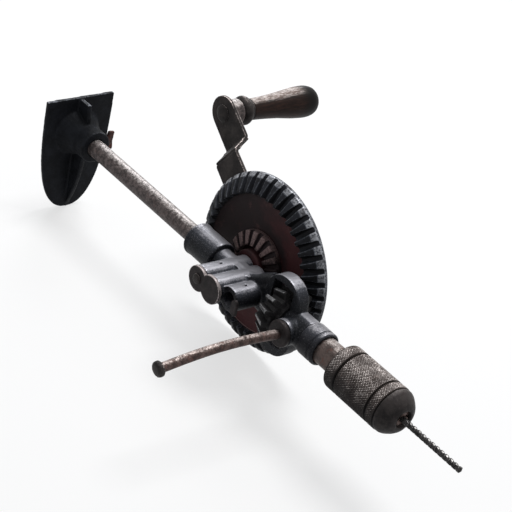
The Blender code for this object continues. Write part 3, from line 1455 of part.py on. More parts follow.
def build():
    finishes = make_materials()
    iron = finishes["black_iron"]
    rusty = finishes["rusty_steel"]
    dark = finishes["dark_steel"]
    bright = finishes["bright_steel"]
    knurled = finishes["knurled_steel"]

    make_breast_plate(iron)
    make_thumb_screw(rusty)

    frame = joint_empty("frame_axis", (0, 0, 0))
    make_tube(rusty, frame)
    make_main_frame(iron, frame)
    make_side_collar(rusty, frame)
    make_side_rod(rusty, frame)
    make_side_cap(dark, frame)
    make_latch_pin(dark, frame)
    make_latch_stop(rusty, frame)
    make_bearing_cup(iron, frame)
    make_thrust_race(bright, frame)
    for i in range(BALL_COUNT):
        make_ball(i, bright, frame)

    latch = joint_empty("latch_axis", (MIDDLE_BOSS_X, LATCH_FACE, 0), frame)
    make_latch_plate(rusty, latch)
    make_latch_button(dark, latch)

    crank = joint_empty("crank_axis", (AXLE_X, 0, 0), frame)
    make_crank_gear(finishes["maroon_gear"], crank)
    make_gear_axle(bright, crank)
    make_crank_arm(dark, crank)
    make_arm_nut(dark, crank)
    make_grip_pin(dark, crank)
    make_grip_spacer(rusty, crank)
    grip = joint_empty("grip_axis", (GRIP_X, GRIP_START, GRIP_Z), crank)
    make_grip_ferrule(dark, grip)
    make_wooden_grip(finishes["dark_wood"], grip)

    spindle = joint_empty("spindle_axis", (PINION_HEEL, 0, 0), frame)
    make_spindle(bright, spindle)
    make_pinion(dark, spindle)
    make_pinion_pin(bright, spindle)
    make_chuck_body(knurled, spindle)
    make_rear_ring(knurled, spindle)
    sleeve = joint_empty("sleeve_axis", (SLEEVE_START, 0, 0), spindle)
    make_sleeve(knurled, sleeve)
    make_jaw_nut(bright, sleeve)
    for i in range(JAW_COUNT):
        slide = joint_empty(f"jaw_axis_{i + 1}", jaw_place(JAW_FRONT, i), spindle)
        make_jaw(i, dark, slide)
    bit = joint_empty("bit_axis", (NOSE_END, 0, 0), spindle)
    make_bit(dark, bit)


clear_scene()
PARTS = new_collection("hand_drill")
build()
bpy.context.view_layer.update()
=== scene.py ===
# The looks of the breast drill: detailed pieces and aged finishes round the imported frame.
# Lengths in tables are millimetres and are turned into metres where the points are made.
import math

import bmesh
import bpy
import numpy as np
from mathutils import Matrix, Vector, noise


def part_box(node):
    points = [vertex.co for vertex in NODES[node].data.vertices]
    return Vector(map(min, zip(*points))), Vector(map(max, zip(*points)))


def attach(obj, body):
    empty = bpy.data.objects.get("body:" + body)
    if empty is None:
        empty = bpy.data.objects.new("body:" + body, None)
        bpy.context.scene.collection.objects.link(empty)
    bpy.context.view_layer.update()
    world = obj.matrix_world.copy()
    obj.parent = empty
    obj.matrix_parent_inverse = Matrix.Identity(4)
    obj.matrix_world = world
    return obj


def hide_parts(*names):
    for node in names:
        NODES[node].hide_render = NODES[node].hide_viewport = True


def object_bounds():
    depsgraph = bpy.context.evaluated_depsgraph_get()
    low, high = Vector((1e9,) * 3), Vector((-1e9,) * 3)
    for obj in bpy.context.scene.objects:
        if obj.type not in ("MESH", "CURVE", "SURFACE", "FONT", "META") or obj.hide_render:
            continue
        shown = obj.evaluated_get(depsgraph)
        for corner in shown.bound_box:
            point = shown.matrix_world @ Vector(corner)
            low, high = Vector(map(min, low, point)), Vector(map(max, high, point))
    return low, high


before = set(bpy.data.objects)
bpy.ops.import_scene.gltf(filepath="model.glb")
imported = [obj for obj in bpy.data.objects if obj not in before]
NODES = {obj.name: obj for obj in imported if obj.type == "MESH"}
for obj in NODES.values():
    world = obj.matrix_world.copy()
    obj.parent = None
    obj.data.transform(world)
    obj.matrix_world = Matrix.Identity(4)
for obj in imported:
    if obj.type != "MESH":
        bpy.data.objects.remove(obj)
CAD_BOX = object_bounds()

MM = 0.001


def span(node, axis):
    """Where a node starts and ends along an axis (0 to 2), in millimetres."""
    low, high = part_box(node)
    return low[axis] / MM, high[axis] / MM


def centre_of(node, axis):
    low, high = span(node, axis)
    return (low + high) / 2


def radius_of(node, axis):
    low, high = span(node, axis)
    return (high - low) / 2


AXLE_X = centre_of("gear_axle", 0)
MIDDLE_BOSS_X = centre_of("latch_pin", 0)
SIDE_BOSS_X = centre_of("side_handle_rod", 0)
GRIP_X = centre_of("grip_pin", 0)
GRIP_Z = centre_of("grip_pin", 2)
RING_START, RING_END = span("chuck_rear_ring", 0)
SLEEVE_START, SLEEVE_END = span("chuck_sleeve", 0)
NOSE_END = span("chuck_body", 0)[1]
CHUCK_RADIUS = radius_of("chuck_rear_ring", 1)

# Lines that pieces are turned about: axis, first and second direction across it, and a point of it
ALONG_X = (Vector((1, 0, 0)), Vector((0, 1, 0)), Vector((0, 0, 1)))
ALONG_Y = (Vector((0, 1, 0)), Vector((0, 0, 1)), Vector((1, 0, 0)))
SPINDLE_LINE = (*ALONG_X, (0, 0, 0))
SIDE_LINE = (*ALONG_Y, (SIDE_BOSS_X, 0, 0))
LATCH_LINE = (*ALONG_Y, (MIDDLE_BOSS_X, 0, 0))
GRIP_LINE = (*ALONG_Y, (GRIP_X, 0, GRIP_Z))

# The side that light and hands reach: up and a little back. Faces towards it are painted lighter, as painted
# light, and rubbed more
TOP_DIRECTION = Vector((-0.20, 0.30, 0.93)).normalized()


# Meshes
def linked(name, data):
    """A new object in the scene, for a mesh, a lamp or a camera."""
    made = bpy.data.objects.new(name, data)
    bpy.context.scene.collection.objects.link(made)
    return made


def rows_of(items, key, width, kind=float):
    """What a mesh's items hold under a key, one row for each."""
    flat = np.zeros(len(items) * width, kind)
    items.foreach_get(key, flat)
    return flat.reshape(-1, width)


def points_of(mesh):
    return rows_of(mesh.vertices, "co", 3)


def normals_of(mesh):
    return rows_of(mesh.vertex_normals, "vector", 3, np.float32).astype(float)


def move_points(mesh, place):
    mesh.vertices.foreach_set("co", place.ravel())
    mesh.update()


def write_layer(mesh, key, values):
    layer = mesh.attributes.get(key) or mesh.attributes.new(key, "FLOAT", "POINT")
    layer.data.foreach_set("value", np.asarray(values, np.float32))


def new_object(name, vertices, faces, attributes=None, smooth_angle=None):
    """A closed mesh with its faces outwards, its attributes and its edges sharp above an angle."""
    mesh = bpy.data.meshes.new(name)
    mesh.from_pydata([tuple(v) for v in vertices], [], faces)
    mesh.update()
    shape = bmesh.new()
    shape.from_mesh(mesh)
    bmesh.ops.recalc_face_normals(shape, faces=shape.faces)
    if shape.calc_volume(signed=True) < 0:
        bmesh.ops.reverse_faces(shape, faces=shape.faces)
    shape.to_mesh(mesh)
    shape.free()
    for key, values in (attributes or {}).items():
        write_layer(mesh, key, values)
    mesh.shade_smooth()
    if smooth_angle is not None:
        mesh.set_sharp_from_angle(angle=math.radians(smooth_angle))
    return linked(name, mesh)


def ring_faces(rings, closed=False):
    """The faces between rings of points, each given as (first point, how many), where one point is a pole."""
    faces = []
    for i in range(len(rings) if closed else len(rings) - 1):
        (a, here), (b, there) = rings[i], rings[(i + 1) % len(rings)]
        around = max(here, there)
        for j in range(around if around > 1 else 0):
            k = (j + 1) % around
            if here == 1:
                faces.append((a, b + k, b + j))
            elif there == 1:
                faces.append((a + j, a + k, b))
            else:
                faces.append((a + j, a + k, b + k, b + j))
    return faces


def equal_rings(rows, around):
    return [(i * around, around) for i in range(rows)]


def capped_faces(rows, around):
    """The faces of a tube of equal rings, with one flat face over each end."""
    last = (rows - 1) * around
    return [tuple(range(around)), tuple(range(last, last + around))] + ring_faces(equal_rings(rows, around))


def gathered(pairs, at_start, at_end, counts):
    """The mean of what each point's edges bring to it at their starts and ends."""
    total = np.bincount(pairs[:, 0], weights=at_start, minlength=len(counts))
    total += np.bincount(pairs[:, 1], weights=at_end, minlength=len(counts))
    return total / np.maximum(counts, 1)


def write_edges(thing, spread=3):
    """Stores how far each point stands out as an edge (above zero) or lies in a corner (below zero)."""
    place, normal = points_of(thing.data), normals_of(thing.data)
    pairs = rows_of(thing.data.edges, "vertices", 2, np.int32)
    start, end = pairs[:, 0], pairs[:, 1]
    counts = np.bincount(pairs.ravel(), minlength=len(place)).astype(float)
    step = place[start] - place[end]
    step /= np.maximum(np.linalg.norm(step, axis=1, keepdims=True), 1e-9)
    at_start = np.einsum("ij,ij->i", normal[start], step)
    at_end = -np.einsum("ij,ij->i", normal[end], step)
    bend = gathered(pairs, at_start, at_end, counts)
    for _ in range(spread):
        bend = (bend + gathered(pairs, bend[end], bend[start], counts)) / 2
    write_layer(thing.data, "edge", bend)
    return thing


def soft_noise(point):
    return noise.fractal(point, 1.0, 2.0, 3)


def roughen(thing, depth, size, seed):
    """Moves the points along their normals by a soft noise, in place of a cast or beaten skin."""
    place = points_of(thing.data)
    offset = Vector((seed, seed * 0.7, seed * 1.3))
    shift = np.array([soft_noise(Vector(point) / (size * MM) + offset) for point in place])
    move_points(thing.data, place + normals_of(thing.data) * np.clip(shift, -1, 1)[:, None] * (depth * MM))


def copy_of(node, name):
    """A copy of a CAD node's mesh with its doubled points joined."""
    made = linked(name, NODES[node].data.copy())
    shape = bmesh.new()
    shape.from_mesh(made.data)
    bmesh.ops.remove_doubles(shape, verts=shape.verts, dist=0.01 * MM)
    shape.to_mesh(made.data)
    shape.free()
    made.data.materials.clear()
    return made


def joined(target, extras):
    """Adds the meshes of further objects to a piece, before it is remeshed."""
    shape = bmesh.new()
    shape.from_mesh(target.data)
    for extra in extras:
        bpy.context.view_layer.update()
        extra.data.transform(extra.matrix_world)
        shape.from_mesh(extra.data)
        bpy.data.objects.remove(extra, do_unlink=True)
    shape.to_mesh(target.data)
    shape.free()
    return target


def remeshed(thing, voxel, relax, cast=None):
    """Turns a sharp solid into a dense skin with soft edges, roughened by a cast of (depth, size, seed)."""
    skin = thing.modifiers.new("Skin", "REMESH")
    skin.mode = "VOXEL"
    skin.voxel_size = voxel * MM
    thing.modifiers.new("Relax", "SMOOTH").iterations = relax
    bpy.context.view_layer.update()
    source = thing.evaluated_get(bpy.context.evaluated_depsgraph_get())
    mesh = bpy.data.meshes.new_from_object(source)
    thing.modifiers.clear()
    thing.data = mesh
    mesh.shade_smooth()
    write_edges(thing)
    if cast:
        roughen(thing, *cast)
    return thing


FILLET_STEPS = 4


def rounded_profile(profile, closed):
    """A profile of (radius, place, fillet) corners as a fine line with round corners."""
    points = [Vector((r, z)) for r, z, _ in profile]
    fillets = [f for _, _, f in profile]
    line = []
    count = len(points)
    for i, point in enumerate(points):
        if not closed and i in (0, count - 1) or fillets[i] == 0:
            line.append((point.x, point.y, 0.0))
            continue
        before = points[i - 1] - point
        after = points[(i + 1) % count] - point
        cut = min(fillets[i], before.length * 0.45, after.length * 0.45)
        start = point + before.normalized() * cut
        end = point + after.normalized() * cut
        turn = before.normalized().cross(after.normalized())
        convex = 1.0 if turn < 0 else -1.0
        for k in range(FILLET_STEPS + 1):
            t = k / FILLET_STEPS
            place = start * (1 - t) ** 2 + point * 2 * t * (1 - t) + end * t ** 2
            line.append((place.x, place.y, convex))
    return line


def filled_profile(line, spacing, closed):
    """Adds points to the long stretches of a profile."""
    filled = []
    count = len(line)
    for i in range(count if closed else count - 1):
        r0, z0, edge = line[i]
        r1, z1, _ = line[(i + 1) % count]
        parts = max(1, int(math.hypot(r1 - r0, z1 - z0) / spacing))
        for k in range(parts):
            t = k / parts
            filled.append((r0 + (r1 - r0) * t, z0 + (z1 - z0) * t, edge if k == 0 else 0.0))
    if not closed:
        filled.append(line[-1])
    return filled


def turned(name, line, profile, segments, spacing, closed=True, relief=None, shade=None):
    """A piece turned about a line.

    relief gives the radius to take off at an angle and a place, and shade the edge value there.
    """
    axis, first, second, centre = line
    middle = Vector(centre) * MM
    vertices = []
    edges = []
    rings = []
    for r, z, edge in filled_profile(rounded_profile(profile, closed), spacing, closed):
        count = 1 if r < 1e-6 else segments
        rings.append((len(vertices), count))
        if count == 1:
            vertices.append(middle + axis * z * MM)
            edges.append(edge)
            continue
        for j in range(segments):
            angle = 2 * math.pi * j / segments
            radius = r - (relief(angle, z, r) if relief else 0.0)
            across = first * math.cos(angle) + second * math.sin(angle)
            vertices.append(middle + axis * z * MM + across * radius * MM)
            edges.append(shade(angle, z, r) if shade else edge)
    faces = ring_faces(rings, closed)
    if shade:
        return new_object(name, vertices, faces, {"edge": edges}, smooth_angle=50)
    return write_edges(new_object(name, vertices, faces, smooth_angle=50), 1)


def dented(depth, size, seed):
    """A relief of shallow dents and pits for turned pieces."""
    def relief(angle, place, radius):
        point = Vector((math.cos(angle) * radius, math.sin(angle) * radius, place)) / size
        return depth * abs(soft_noise(point + Vector((seed, 0, 0))))
    return relief


# Teeth. Half a tooth goes from its middle outwards: part, share of the part's width, rise, edge value
TOOTH_COLUMNS = (
    ("tip", 0.0, 1.0, 0.1), ("tip", 0.72, 1.0, 0.4), ("tip", 0.94, 0.985, 1.0), ("flank", 0.07, 0.92, 0.9),
    ("flank", 0.30, 0.70, 0.1), ("flank", 0.70, 0.30, 0.0), ("flank", 0.93, 0.06, -0.5),
    ("gap", 0.08, 0.01, -0.8), ("gap", 0.40, 0.0, -0.5), ("gap", 1.0, 0.0, -0.4),
)


def tooth_columns(tip, root):
    """(phase, rise, edge) across one tooth, from the middle of a gap to the middle of the next."""
    half = []
    for kind, share, rise, edge in TOOTH_COLUMNS:
        if kind == "tip":
            phase = tip * share
        elif kind == "flank":
            phase = tip + (root - tip) * share
        else:
            phase = root + (0.5 - root) * share
        half.append((phase, rise, edge))
    left = [(-phase, rise, edge) for phase, rise, edge in half[::-1]]
    return left[:-1] + half[:-1]


def toothed(teeth, turn, rows, place, wear, seed):
    """A closed ring of teeth, as its vertices, faces and attributes.

    Each row has the tip's and the root's (radius, depth), their phases, a zone, and an edge value to add.
    """
    drops = np.random.RandomState(seed).uniform(0, wear, teeth)
    vertices = []
    attributes = {"edge": [], "zone": [], "rise": []}
    for (tip_r, tip_d), (root_r, root_d), tip_phase, root_phase, zone, end in rows:
        toothy = min(1.0, math.hypot(tip_r - root_r, tip_d - root_d))
        columns = tooth_columns(tip_phase, root_phase)
        for tooth in range(teeth):
            for phase, rise, edge in columns:
                lift = rise * (1 - drops[tooth])
                radius = root_r + (tip_r - root_r) * lift
                depth = root_d + (tip_d - root_d) * lift
                vertices.append(place(radius, depth, turn + 2 * math.pi * (tooth + phase) / teeth))
                attributes["edge"].append(edge * toothy + end)
                attributes["zone"].append(zone)
                attributes["rise"].append(1.0 - (1.0 - rise) * toothy)
    around = len(vertices) // len(rows)
    return vertices, ring_faces(equal_rings(len(rows), around), closed=True), attributes


def on_gear(radius, depth, angle):
    return ((AXLE_X + radius * math.cos(angle)) * MM, depth * MM, radius * math.sin(angle) * MM)


def on_pinion(radius, depth, angle):
    return ((AXLE_X + depth) * MM, radius * math.cos(angle) * MM, radius * math.sin(angle) * MM)


MODULE = 2.74
GEAR_TEETH = 42
LOW_TEETH = 18
PINION_TEETH = 14
GEAR_PITCH_RADIUS = MODULE * GEAR_TEETH / 2
PINION_PITCH_RADIUS = MODULE * PINION_TEETH / 2
CONE_ANGLE = math.atan2(GEAR_PITCH_RADIUS, PINION_PITCH_RADIUS)
GEAR_TURN = math.radians(5.73)
GEAR_BORE = 5.05
HUB_RADIUS = 11.5
RIM_RADIUS = 60.04
RIM_BACK = 26.28
HUB_FRONT, HUB_BACK = span("crank_gear", 1)

# Plain rows of the gear: radius, depth, zone and edge value. First the bore, hub and web, up to the teeth
GEAR_FRONT = (
    (GEAR_BORE, HUB_FRONT + 0.05), (GEAR_BORE + 0.25, HUB_FRONT, 0.0, 0.6),
    (HUB_RADIUS - 0.6, HUB_FRONT, 0.0, 0.5), (HUB_RADIUS - 0.05, HUB_FRONT + 0.5, 0.0, 0.8),
    (HUB_RADIUS, 14.0), (HUB_RADIUS + 0.1, 17.6, 0.0, -0.3), (HUB_RADIUS + 1.1, 18.8, 0.0, -0.6),
    (HUB_RADIUS + 4.0, 19.2, 0.0, -0.2), (21.0, 19.8), (26.0, 20.45), (32.0, 20.3), (38.0, 20.0),
    (42.0, 19.8), (45.2, 19.4, 0.1, -0.4), (46.3, 18.6, 0.6, 0.2), (46.75, 18.0, 0.9, 0.5),
)
# Then round the rim, over the web's back and the hub's, and into the bore
GEAR_REAR = (
    (RIM_RADIUS, 23.95, 2.0, 0.6), (RIM_RADIUS, 25.0, 2.0, 0.2), (RIM_RADIUS - 0.02, 25.6, 2.0, 0.6),
    (RIM_RADIUS - 0.29, RIM_BACK - 0.18, 2.0, 1.0), (RIM_RADIUS - 0.84, RIM_BACK, 2.0, 0.8),
    (58.0, RIM_BACK, 1.4, 0.1), (52.0, RIM_BACK, 1.0, 0.0), (47.5, RIM_BACK, 0.8, 0.4),
    (46.4, RIM_BACK - 0.28, 0.5, 0.6), (45.6, 25.0, 0.1, -0.5), (44.0, 24.45, 0.0, -0.5), (40.0, 24.35),
    (32.0, 24.3), (24.0, 24.3), (16.0, 24.4, 0.0, -0.4), (14.0, 26.2), (13.2, HUB_BACK - 0.28, 0.0, 0.8),
    (12.4, HUB_BACK - 0.03, 0.0, 0.6), (8.0, HUB_BACK), (GEAR_BORE + 0.25, HUB_BACK, 0.0, 0.6),
    (GEAR_BORE, HUB_BACK - 0.18), (GEAR_BORE, 19.0),
)
# The teeth over the rim: shares of the way to it at tip and root, their phases, zone and edge value
RIM_TEETH = (
    (0.12, 0.15, 0.272, 0.359, 1.5, 0.7), (0.50, 0.55, 0.274, 0.360, 1.7, 0.4),
    (0.90, 0.92, 0.276, 0.362, 1.9, 0.6),
)
FLAT_PHASES = (0.14, 0.36)


def flat_row(radius, depth, zone=0.0, end=0.0):
    """A row without teeth, whose points keep the places of a tooth's columns."""
    return ((radius, depth), (radius, depth), *FLAT_PHASES, zone, end)


def between(a, b, t):
    return (a[0] + (b[0] - a[0]) * t, a[1] + (b[1] - a[1]) * t)


def gear_rows(steps=7):
    """From the bore's front outwards over the web and the teeth, round the rim and back to the bore."""
    inner_tip, outer_tip, rim_tip = (48.04, 14.11), (57.28, 19.95), (RIM_RADIUS, 22.98)
    inner_root, outer_root, rim_root = (46.74, 18.01), (56.66, 21.83), (RIM_RADIUS, 23.58)
    root, inner_phase, outer_phase = 0.359, 0.141, 0.271
    rows = [flat_row(*row) for row in GEAR_FRONT]
    rows.append((between(inner_root, inner_tip, 0.55), inner_root, 0.20, 0.36, 1.0, 0.1))
    rows.append((between(inner_root, inner_tip, 0.93), inner_root, 0.150, root, 1.0, 0.7))
    for i in range(steps + 1):
        t = 0.02 + 0.95 * i / steps
        phase = inner_phase + (outer_phase - inner_phase) * t ** 1.6
        tip, foot = between(inner_tip, outer_tip, t), between(inner_root, outer_root, t)
        rows.append((tip, foot, phase, root, 1.0, 0.0))
    rows.append((between(outer_tip, rim_tip, 0.03), outer_root, outer_phase, root, 1.2, 1.0))
    for tip_share, foot_share, *values in RIM_TEETH:
        tip, foot = between(outer_tip, rim_tip, tip_share), between(outer_root, rim_root, foot_share)
        rows.append((tip, foot, *values))
    rows.append(((RIM_RADIUS - 0.04, 23.1), (RIM_RADIUS - 0.04, 23.72), 0.276, 0.362, 2.0, 1.0))
    return rows + [flat_row(*row) for row in GEAR_REAR]


def low_gear_rows(steps=5):
    """The small ring of teeth: from its seat on the web's inside over the teeth to its seat outside."""
    outer, inner, tip_outer, tip_inner = 23.45, 14.25, 14.61, 11.89
    depth, seat = 2.6, 21.5
    rows = [
        flat_row(inner + 0.4, seat, 0.2), flat_row(inner + 0.1, tip_inner + depth + 0.4, 0.3, -0.3),
        ((inner + 0.05, tip_inner + depth * 0.45), (inner, tip_inner + depth), 0.27, 0.34, 0.4, 0.2),
    ]
    for i in range(steps + 1):
        t = i / steps
        tip = (inner + 0.25 + (outer - inner - 0.5) * t, tip_inner + (tip_outer - tip_inner) * t)
        root = (inner + (outer - inner) * t, tip_inner + depth + (tip_outer - tip_inner) * t)
        rows.append((tip, root, 0.25, 0.33, 0.5, 0.9 if i in (0, steps) else 0.0))
    rows.append(((outer, tip_outer + depth * 0.4), (outer, tip_outer + depth), 0.27, 0.34, 0.4, 0.2))
    return rows + [flat_row(outer, tip_outer + depth + 0.5, 0.3, -0.3), flat_row(outer - 0.3, seat, 0.2)]


def lit_share(x, z, low_ring):
    """Painted light: on the web 1 where it is painted redder as lit, with a painted shadow arc round the
    small ring; on the small ring's teeth, higher towards the upper left.
    """
    across, height = x / MM - AXLE_X, z / MM
    if low_ring:
        return 0.5 + 0.75 * (height - across) / math.hypot(across, height)
    shadow_radius, shadow_width = 26.5, 3.0
    shadow = math.exp(-((math.hypot(across, height) - shadow_radius) / shadow_width) ** 2)
    return min(1.0, max(0.0, 0.60 + across / 60.0 - height / 150.0 - 0.7 * shadow))


def make_gear():
    low = toothed(LOW_TEETH, 0.0, low_gear_rows(), on_gear, wear=0.10, seed=5)
    main = toothed(GEAR_TEETH, GEAR_TURN, gear_rows(), on_gear, wear=0.07, seed=3)
    shift = len(main[0])
    vertices = main[0] + low[0]
    faces = main[1] + [tuple(i + shift for i in face) for face in low[1]]
    attributes = {key: main[2][key] + low[2][key] for key in main[2]}
    attributes["zone"] = main[2]["zone"] + [0.5] * len(low[0])
    # Painted light and painted shadow over the web and the small ring's teeth
    attributes["lit"] = [lit_share(x, z, i >= shift) for i, (x, _, z) in enumerate(vertices)]
    gear = new_object("bevel_gear", vertices, faces, attributes)
    dress(gear, "gear", "crank", "crank_gear")


PINION_BORE = 5.35
PINION_COLLAR = 12.0
PINION_BACK = 59.14
PINION_TOE, PINION_HEEL = 0.760, 0.962
PINION_TIP_HEIGHT, PINION_ROOT_HEIGHT = 2.192, -2.795


def cone_row(height, scale):
    """The pinion's (radius, depth) at a height over its pitch cone."""
    radius = PINION_PITCH_RADIUS + height * math.sin(CONE_ANGLE)
    return (radius * scale, (GEAR_PITCH_RADIUS - height * math.cos(CONE_ANGLE)) * scale)


def pinion_rows(steps=9):
    """From the bore at the toe outwards over the teeth and the heel to the collar behind it."""
    toe_tip, toe_root = cone_row(PINION_TIP_HEIGHT, PINION_TOE), cone_row(PINION_ROOT_HEIGHT, PINION_TOE)
    front = toe_tip[1] - 0.2
    rows = [flat_row(PINION_BORE, front + 0.05, 0.0), flat_row(6.5, front, 0.0, 0.3)]
    rows.append(((toe_tip[0] * 0.86, front), (toe_root[0] * 0.86, front), 0.13, 0.31, 0.3, 0.3))
    for i in range(steps + 1):
        scale = PINION_TOE + (PINION_HEEL - PINION_TOE) * i / steps
        zone, end = (0.6, 0.9) if i in (0, steps) else (1.0, 0.0)
        tip, root = cone_row(PINION_TIP_HEIGHT, scale), cone_row(PINION_ROOT_HEIGHT, scale)
        rows.append((tip, root, 0.13, 0.285, zone, end))
    slope = 1 / math.tan(CONE_ANGLE)
    for share, end in ((0.95, 0.5), (0.8, 0.0), (0.66, 0.0)):
        points = [(r * share, depth + r * (1 - share) * slope) for r, depth in (tip, root)]
        rows.append((*points, 0.12, 0.30, 0.6, end))
    return rows + [flat_row(*row) for row in (
        (PINION_COLLAR, 58.0, 0.3, -0.3), (PINION_COLLAR, PINION_BACK - 0.24, 0.3, 0.5),
        (PINION_COLLAR - 0.3, PINION_BACK - 0.04, 0.3, 0.6), (8.0, PINION_BACK, 0.3),
        (PINION_BORE, PINION_BACK - 0.04, 0.3))]


def make_pinion():
    turn = GEAR_TURN * GEAR_TEETH / PINION_TEETH + math.pi / PINION_TEETH
    pinion = new_object(
        "pinion_gear", *toothed(PINION_TEETH, turn, pinion_rows(), on_pinion, wear=0.04, seed=9))
    dress(pinion, "pinion", "spindle", "pinion")


# Materials
class Nodes:
    """A node tree with short calls for making and joining its nodes."""

    def __init__(self, tree):
        self.tree = tree

    def node(self, kind, inputs=None, **settings):
        made = self.tree.nodes.new(kind)
        for key, value in settings.items():
            setattr(made, key, value)
        for key, value in (inputs or {}).items():
            self.feed(made.inputs[key], value)
        return made

    def feed(self, socket, value):
        if isinstance(value, bpy.types.NodeSocket):
            self.tree.links.new(value, socket)
        else:
            socket.default_value = value

    def math(self, operation, a, b, clamp=False):
        made = self.node("ShaderNodeMath", {0: a, 1: b}, operation=operation, use_clamp=clamp)
        return made.outputs["Value"]

    def times(self, first, *others):
        for other in others:
            first = self.math("MULTIPLY", first, other)
        return first

    def total(self, *terms):
        """The sum of some values, where a tuple stands for its values' product."""
        first, *others = [self.times(*term) if isinstance(term, tuple) else term for term in terms]
        for other in others:
            first = self.math("ADD", first, other)
        return first

    def rest(self, share):
        return self.math("SUBTRACT", 1.0, share)

    def ramp(self, value, stops):
        made = self.node("ShaderNodeValToRGB", {"Fac": value})
        elements = made.color_ramp.elements
        while len(elements) < len(stops):
            elements.new(0.5)
        for element, (place, colour) in zip(elements, stops):
            element.position = place
            element.color = (*colour, 1.0)
        return made.outputs["Color"]


class Finish(Nodes):
    """The nodes of one finish, laid out over the object's own coordinates."""

    def __init__(self, name):
        self.material = bpy.data.materials.new(name)
        self.material.use_nodes = True
        super().__init__(self.material.node_tree)
        self.coordinates = self.node("ShaderNodeTexCoord").outputs["Object"]

    def noise(self, size, detail, rough, stretch=None, distortion=0.0):
        """Noise whose features measure about size millimetres."""
        source = self.coordinates
        if stretch:
            source = self.node("ShaderNodeMapping", {"Scale": stretch, "Vector": source}).outputs["Vector"]
        inputs = {"Vector": source, "Scale": 1.0 / (size * MM), "Detail": detail, "Roughness": rough}
        return self.node("ShaderNodeTexNoise", {**inputs, "Distortion": distortion}).outputs["Fac"]

    def cells(self, size):
        inputs = {"Vector": self.coordinates, "Scale": 1.0 / (size * MM)}
        return self.node("ShaderNodeTexVoronoi", inputs).outputs["Distance"]

    def swing(self, value, amount):
        """A noise moved to swing about zero."""
        return self.times(self.math("SUBTRACT", value, 0.5), amount)

    def step(self, value, low, high):
        """0 below low, 1 above high, smooth between."""
        inputs = {"Value": value, "From Min": low, "From Max": high}
        return self.node("ShaderNodeMapRange", inputs, interpolation_type="SMOOTHSTEP").outputs["Result"]

    def mix(self, amount, *colours):
        a, b = ((*colour, 1.0) if isinstance(colour, tuple) else colour for colour in colours)
        return self.node("ShaderNodeMix", {"Factor": amount, 6: a, 7: b}, data_type="RGBA").outputs[2]

    def blend(self, amount, a, b):
        return self.node("ShaderNodeMix", {0: amount, 2: a, 3: b}, data_type="FLOAT").outputs[0]

    def attribute(self, name):
        return self.node("ShaderNodeAttribute", attribute_name=name).outputs["Fac"]

    def bump(self, height, strength, distance):
        inputs = {"Strength": strength, "Distance": distance * MM, "Height": height}
        return self.node("ShaderNodeBump", inputs).outputs["Normal"]

    def finish(self, colour, roughness, metallic, normal, shine=0.15):
        shader = self.tree.nodes["Principled BSDF"]
        for key, value in (("Base Color", colour), ("Roughness", roughness), ("Metallic", metallic),
                           ("Normal", normal), ("Specular IOR Level", shine)):
            self.feed(shader.inputs[key], value)
        return self.material


def aged_metal(
        name, dark, mid, bare_and_lit_colour, rust, edge_gain, rust_share, pits, speckle=0.3, rough=0.5, metal=0.4,
        spread=9.0, top_highlight_gain=0.35, bare_metal=0.5, lit_side_weight=0.5, top_highlight_start=0.40, shine=0.15, skin_grain=0.0,
        lit=None, soft=0.46):
    """Old metal: a dark skin rubbed bare on edges and in speckles, with patches of rust; faces towards the
    light get a painted lit skin and a painted highlight over their top.
    """
    f = Finish(name)
    broad, fine, grain = f.noise(spread, 5.0, 0.62), f.noise(0.9, 4.0, 0.68), f.noise(0.36, 2.0, 0.7)
    edge, up = f.attribute("edge"), f.attribute("top")
    skin = f.mix(f.step(f.total(broad, f.swing(grain, skin_grain)), 0.35, 0.68), dark, mid)
    # Painted light: the skin turns towards the lit colour on faces towards the light
    if lit:
        lit_facing = f.step(up, -0.25, 1.0)
        skin = f.mix(f.times(lit_facing, lit_facing), skin, lit)
    # Painted light: edge wear and speckles show more on faces towards the light, and a painted highlight lies
    # over their top
    lit_side_share = f.blend(lit_side_weight, 1.0, f.step(up, -0.25, 0.95))
    painted_top_highlight = f.times(f.step(up, top_highlight_start, 1.0), top_highlight_gain)
    pale_share = f.total((edge, edge_gain, lit_side_share), painted_top_highlight, (fine, 1.1), (broad, 0.9), -1.0)
    pale_share = f.step(pale_share, 0.34, 0.34 + soft)
    speck = f.step(f.total((grain, 0.65), (fine, 0.35)), 0.60 - speckle * 0.08, 0.68 - speckle * 0.06)
    bare_and_highlight = f.math("MAXIMUM", pale_share, f.times(speck, lit_side_share, min(1.0, 0.2 + speckle)))
    patches = f.noise(4.0, 6.0, 0.70, distortion=0.6)
    rusty = f.step(patches, 0.66 - rust_share * 0.3, 0.76 - rust_share * 0.25)
    colour = f.mix(f.times(rusty, 0.85), f.mix(bare_and_highlight, skin, bare_and_lit_colour), rust)
    roughness = f.blend(bare_and_highlight, rough + 0.06, rough - 0.08)
    roughness = f.math("ADD", roughness, f.times(rusty, 0.20), clamp=True)
    metallic = f.times(f.blend(bare_and_highlight, metal, bare_metal), f.rest(f.times(rusty, 0.75)))
    height = f.total((grain, 0.6), (fine, 0.8), (f.step(f.cells(1.7), 0.0, 0.35), 0.3))
    return f.finish(colour, roughness, metallic, f.bump(height, pits, 0.20), shine)


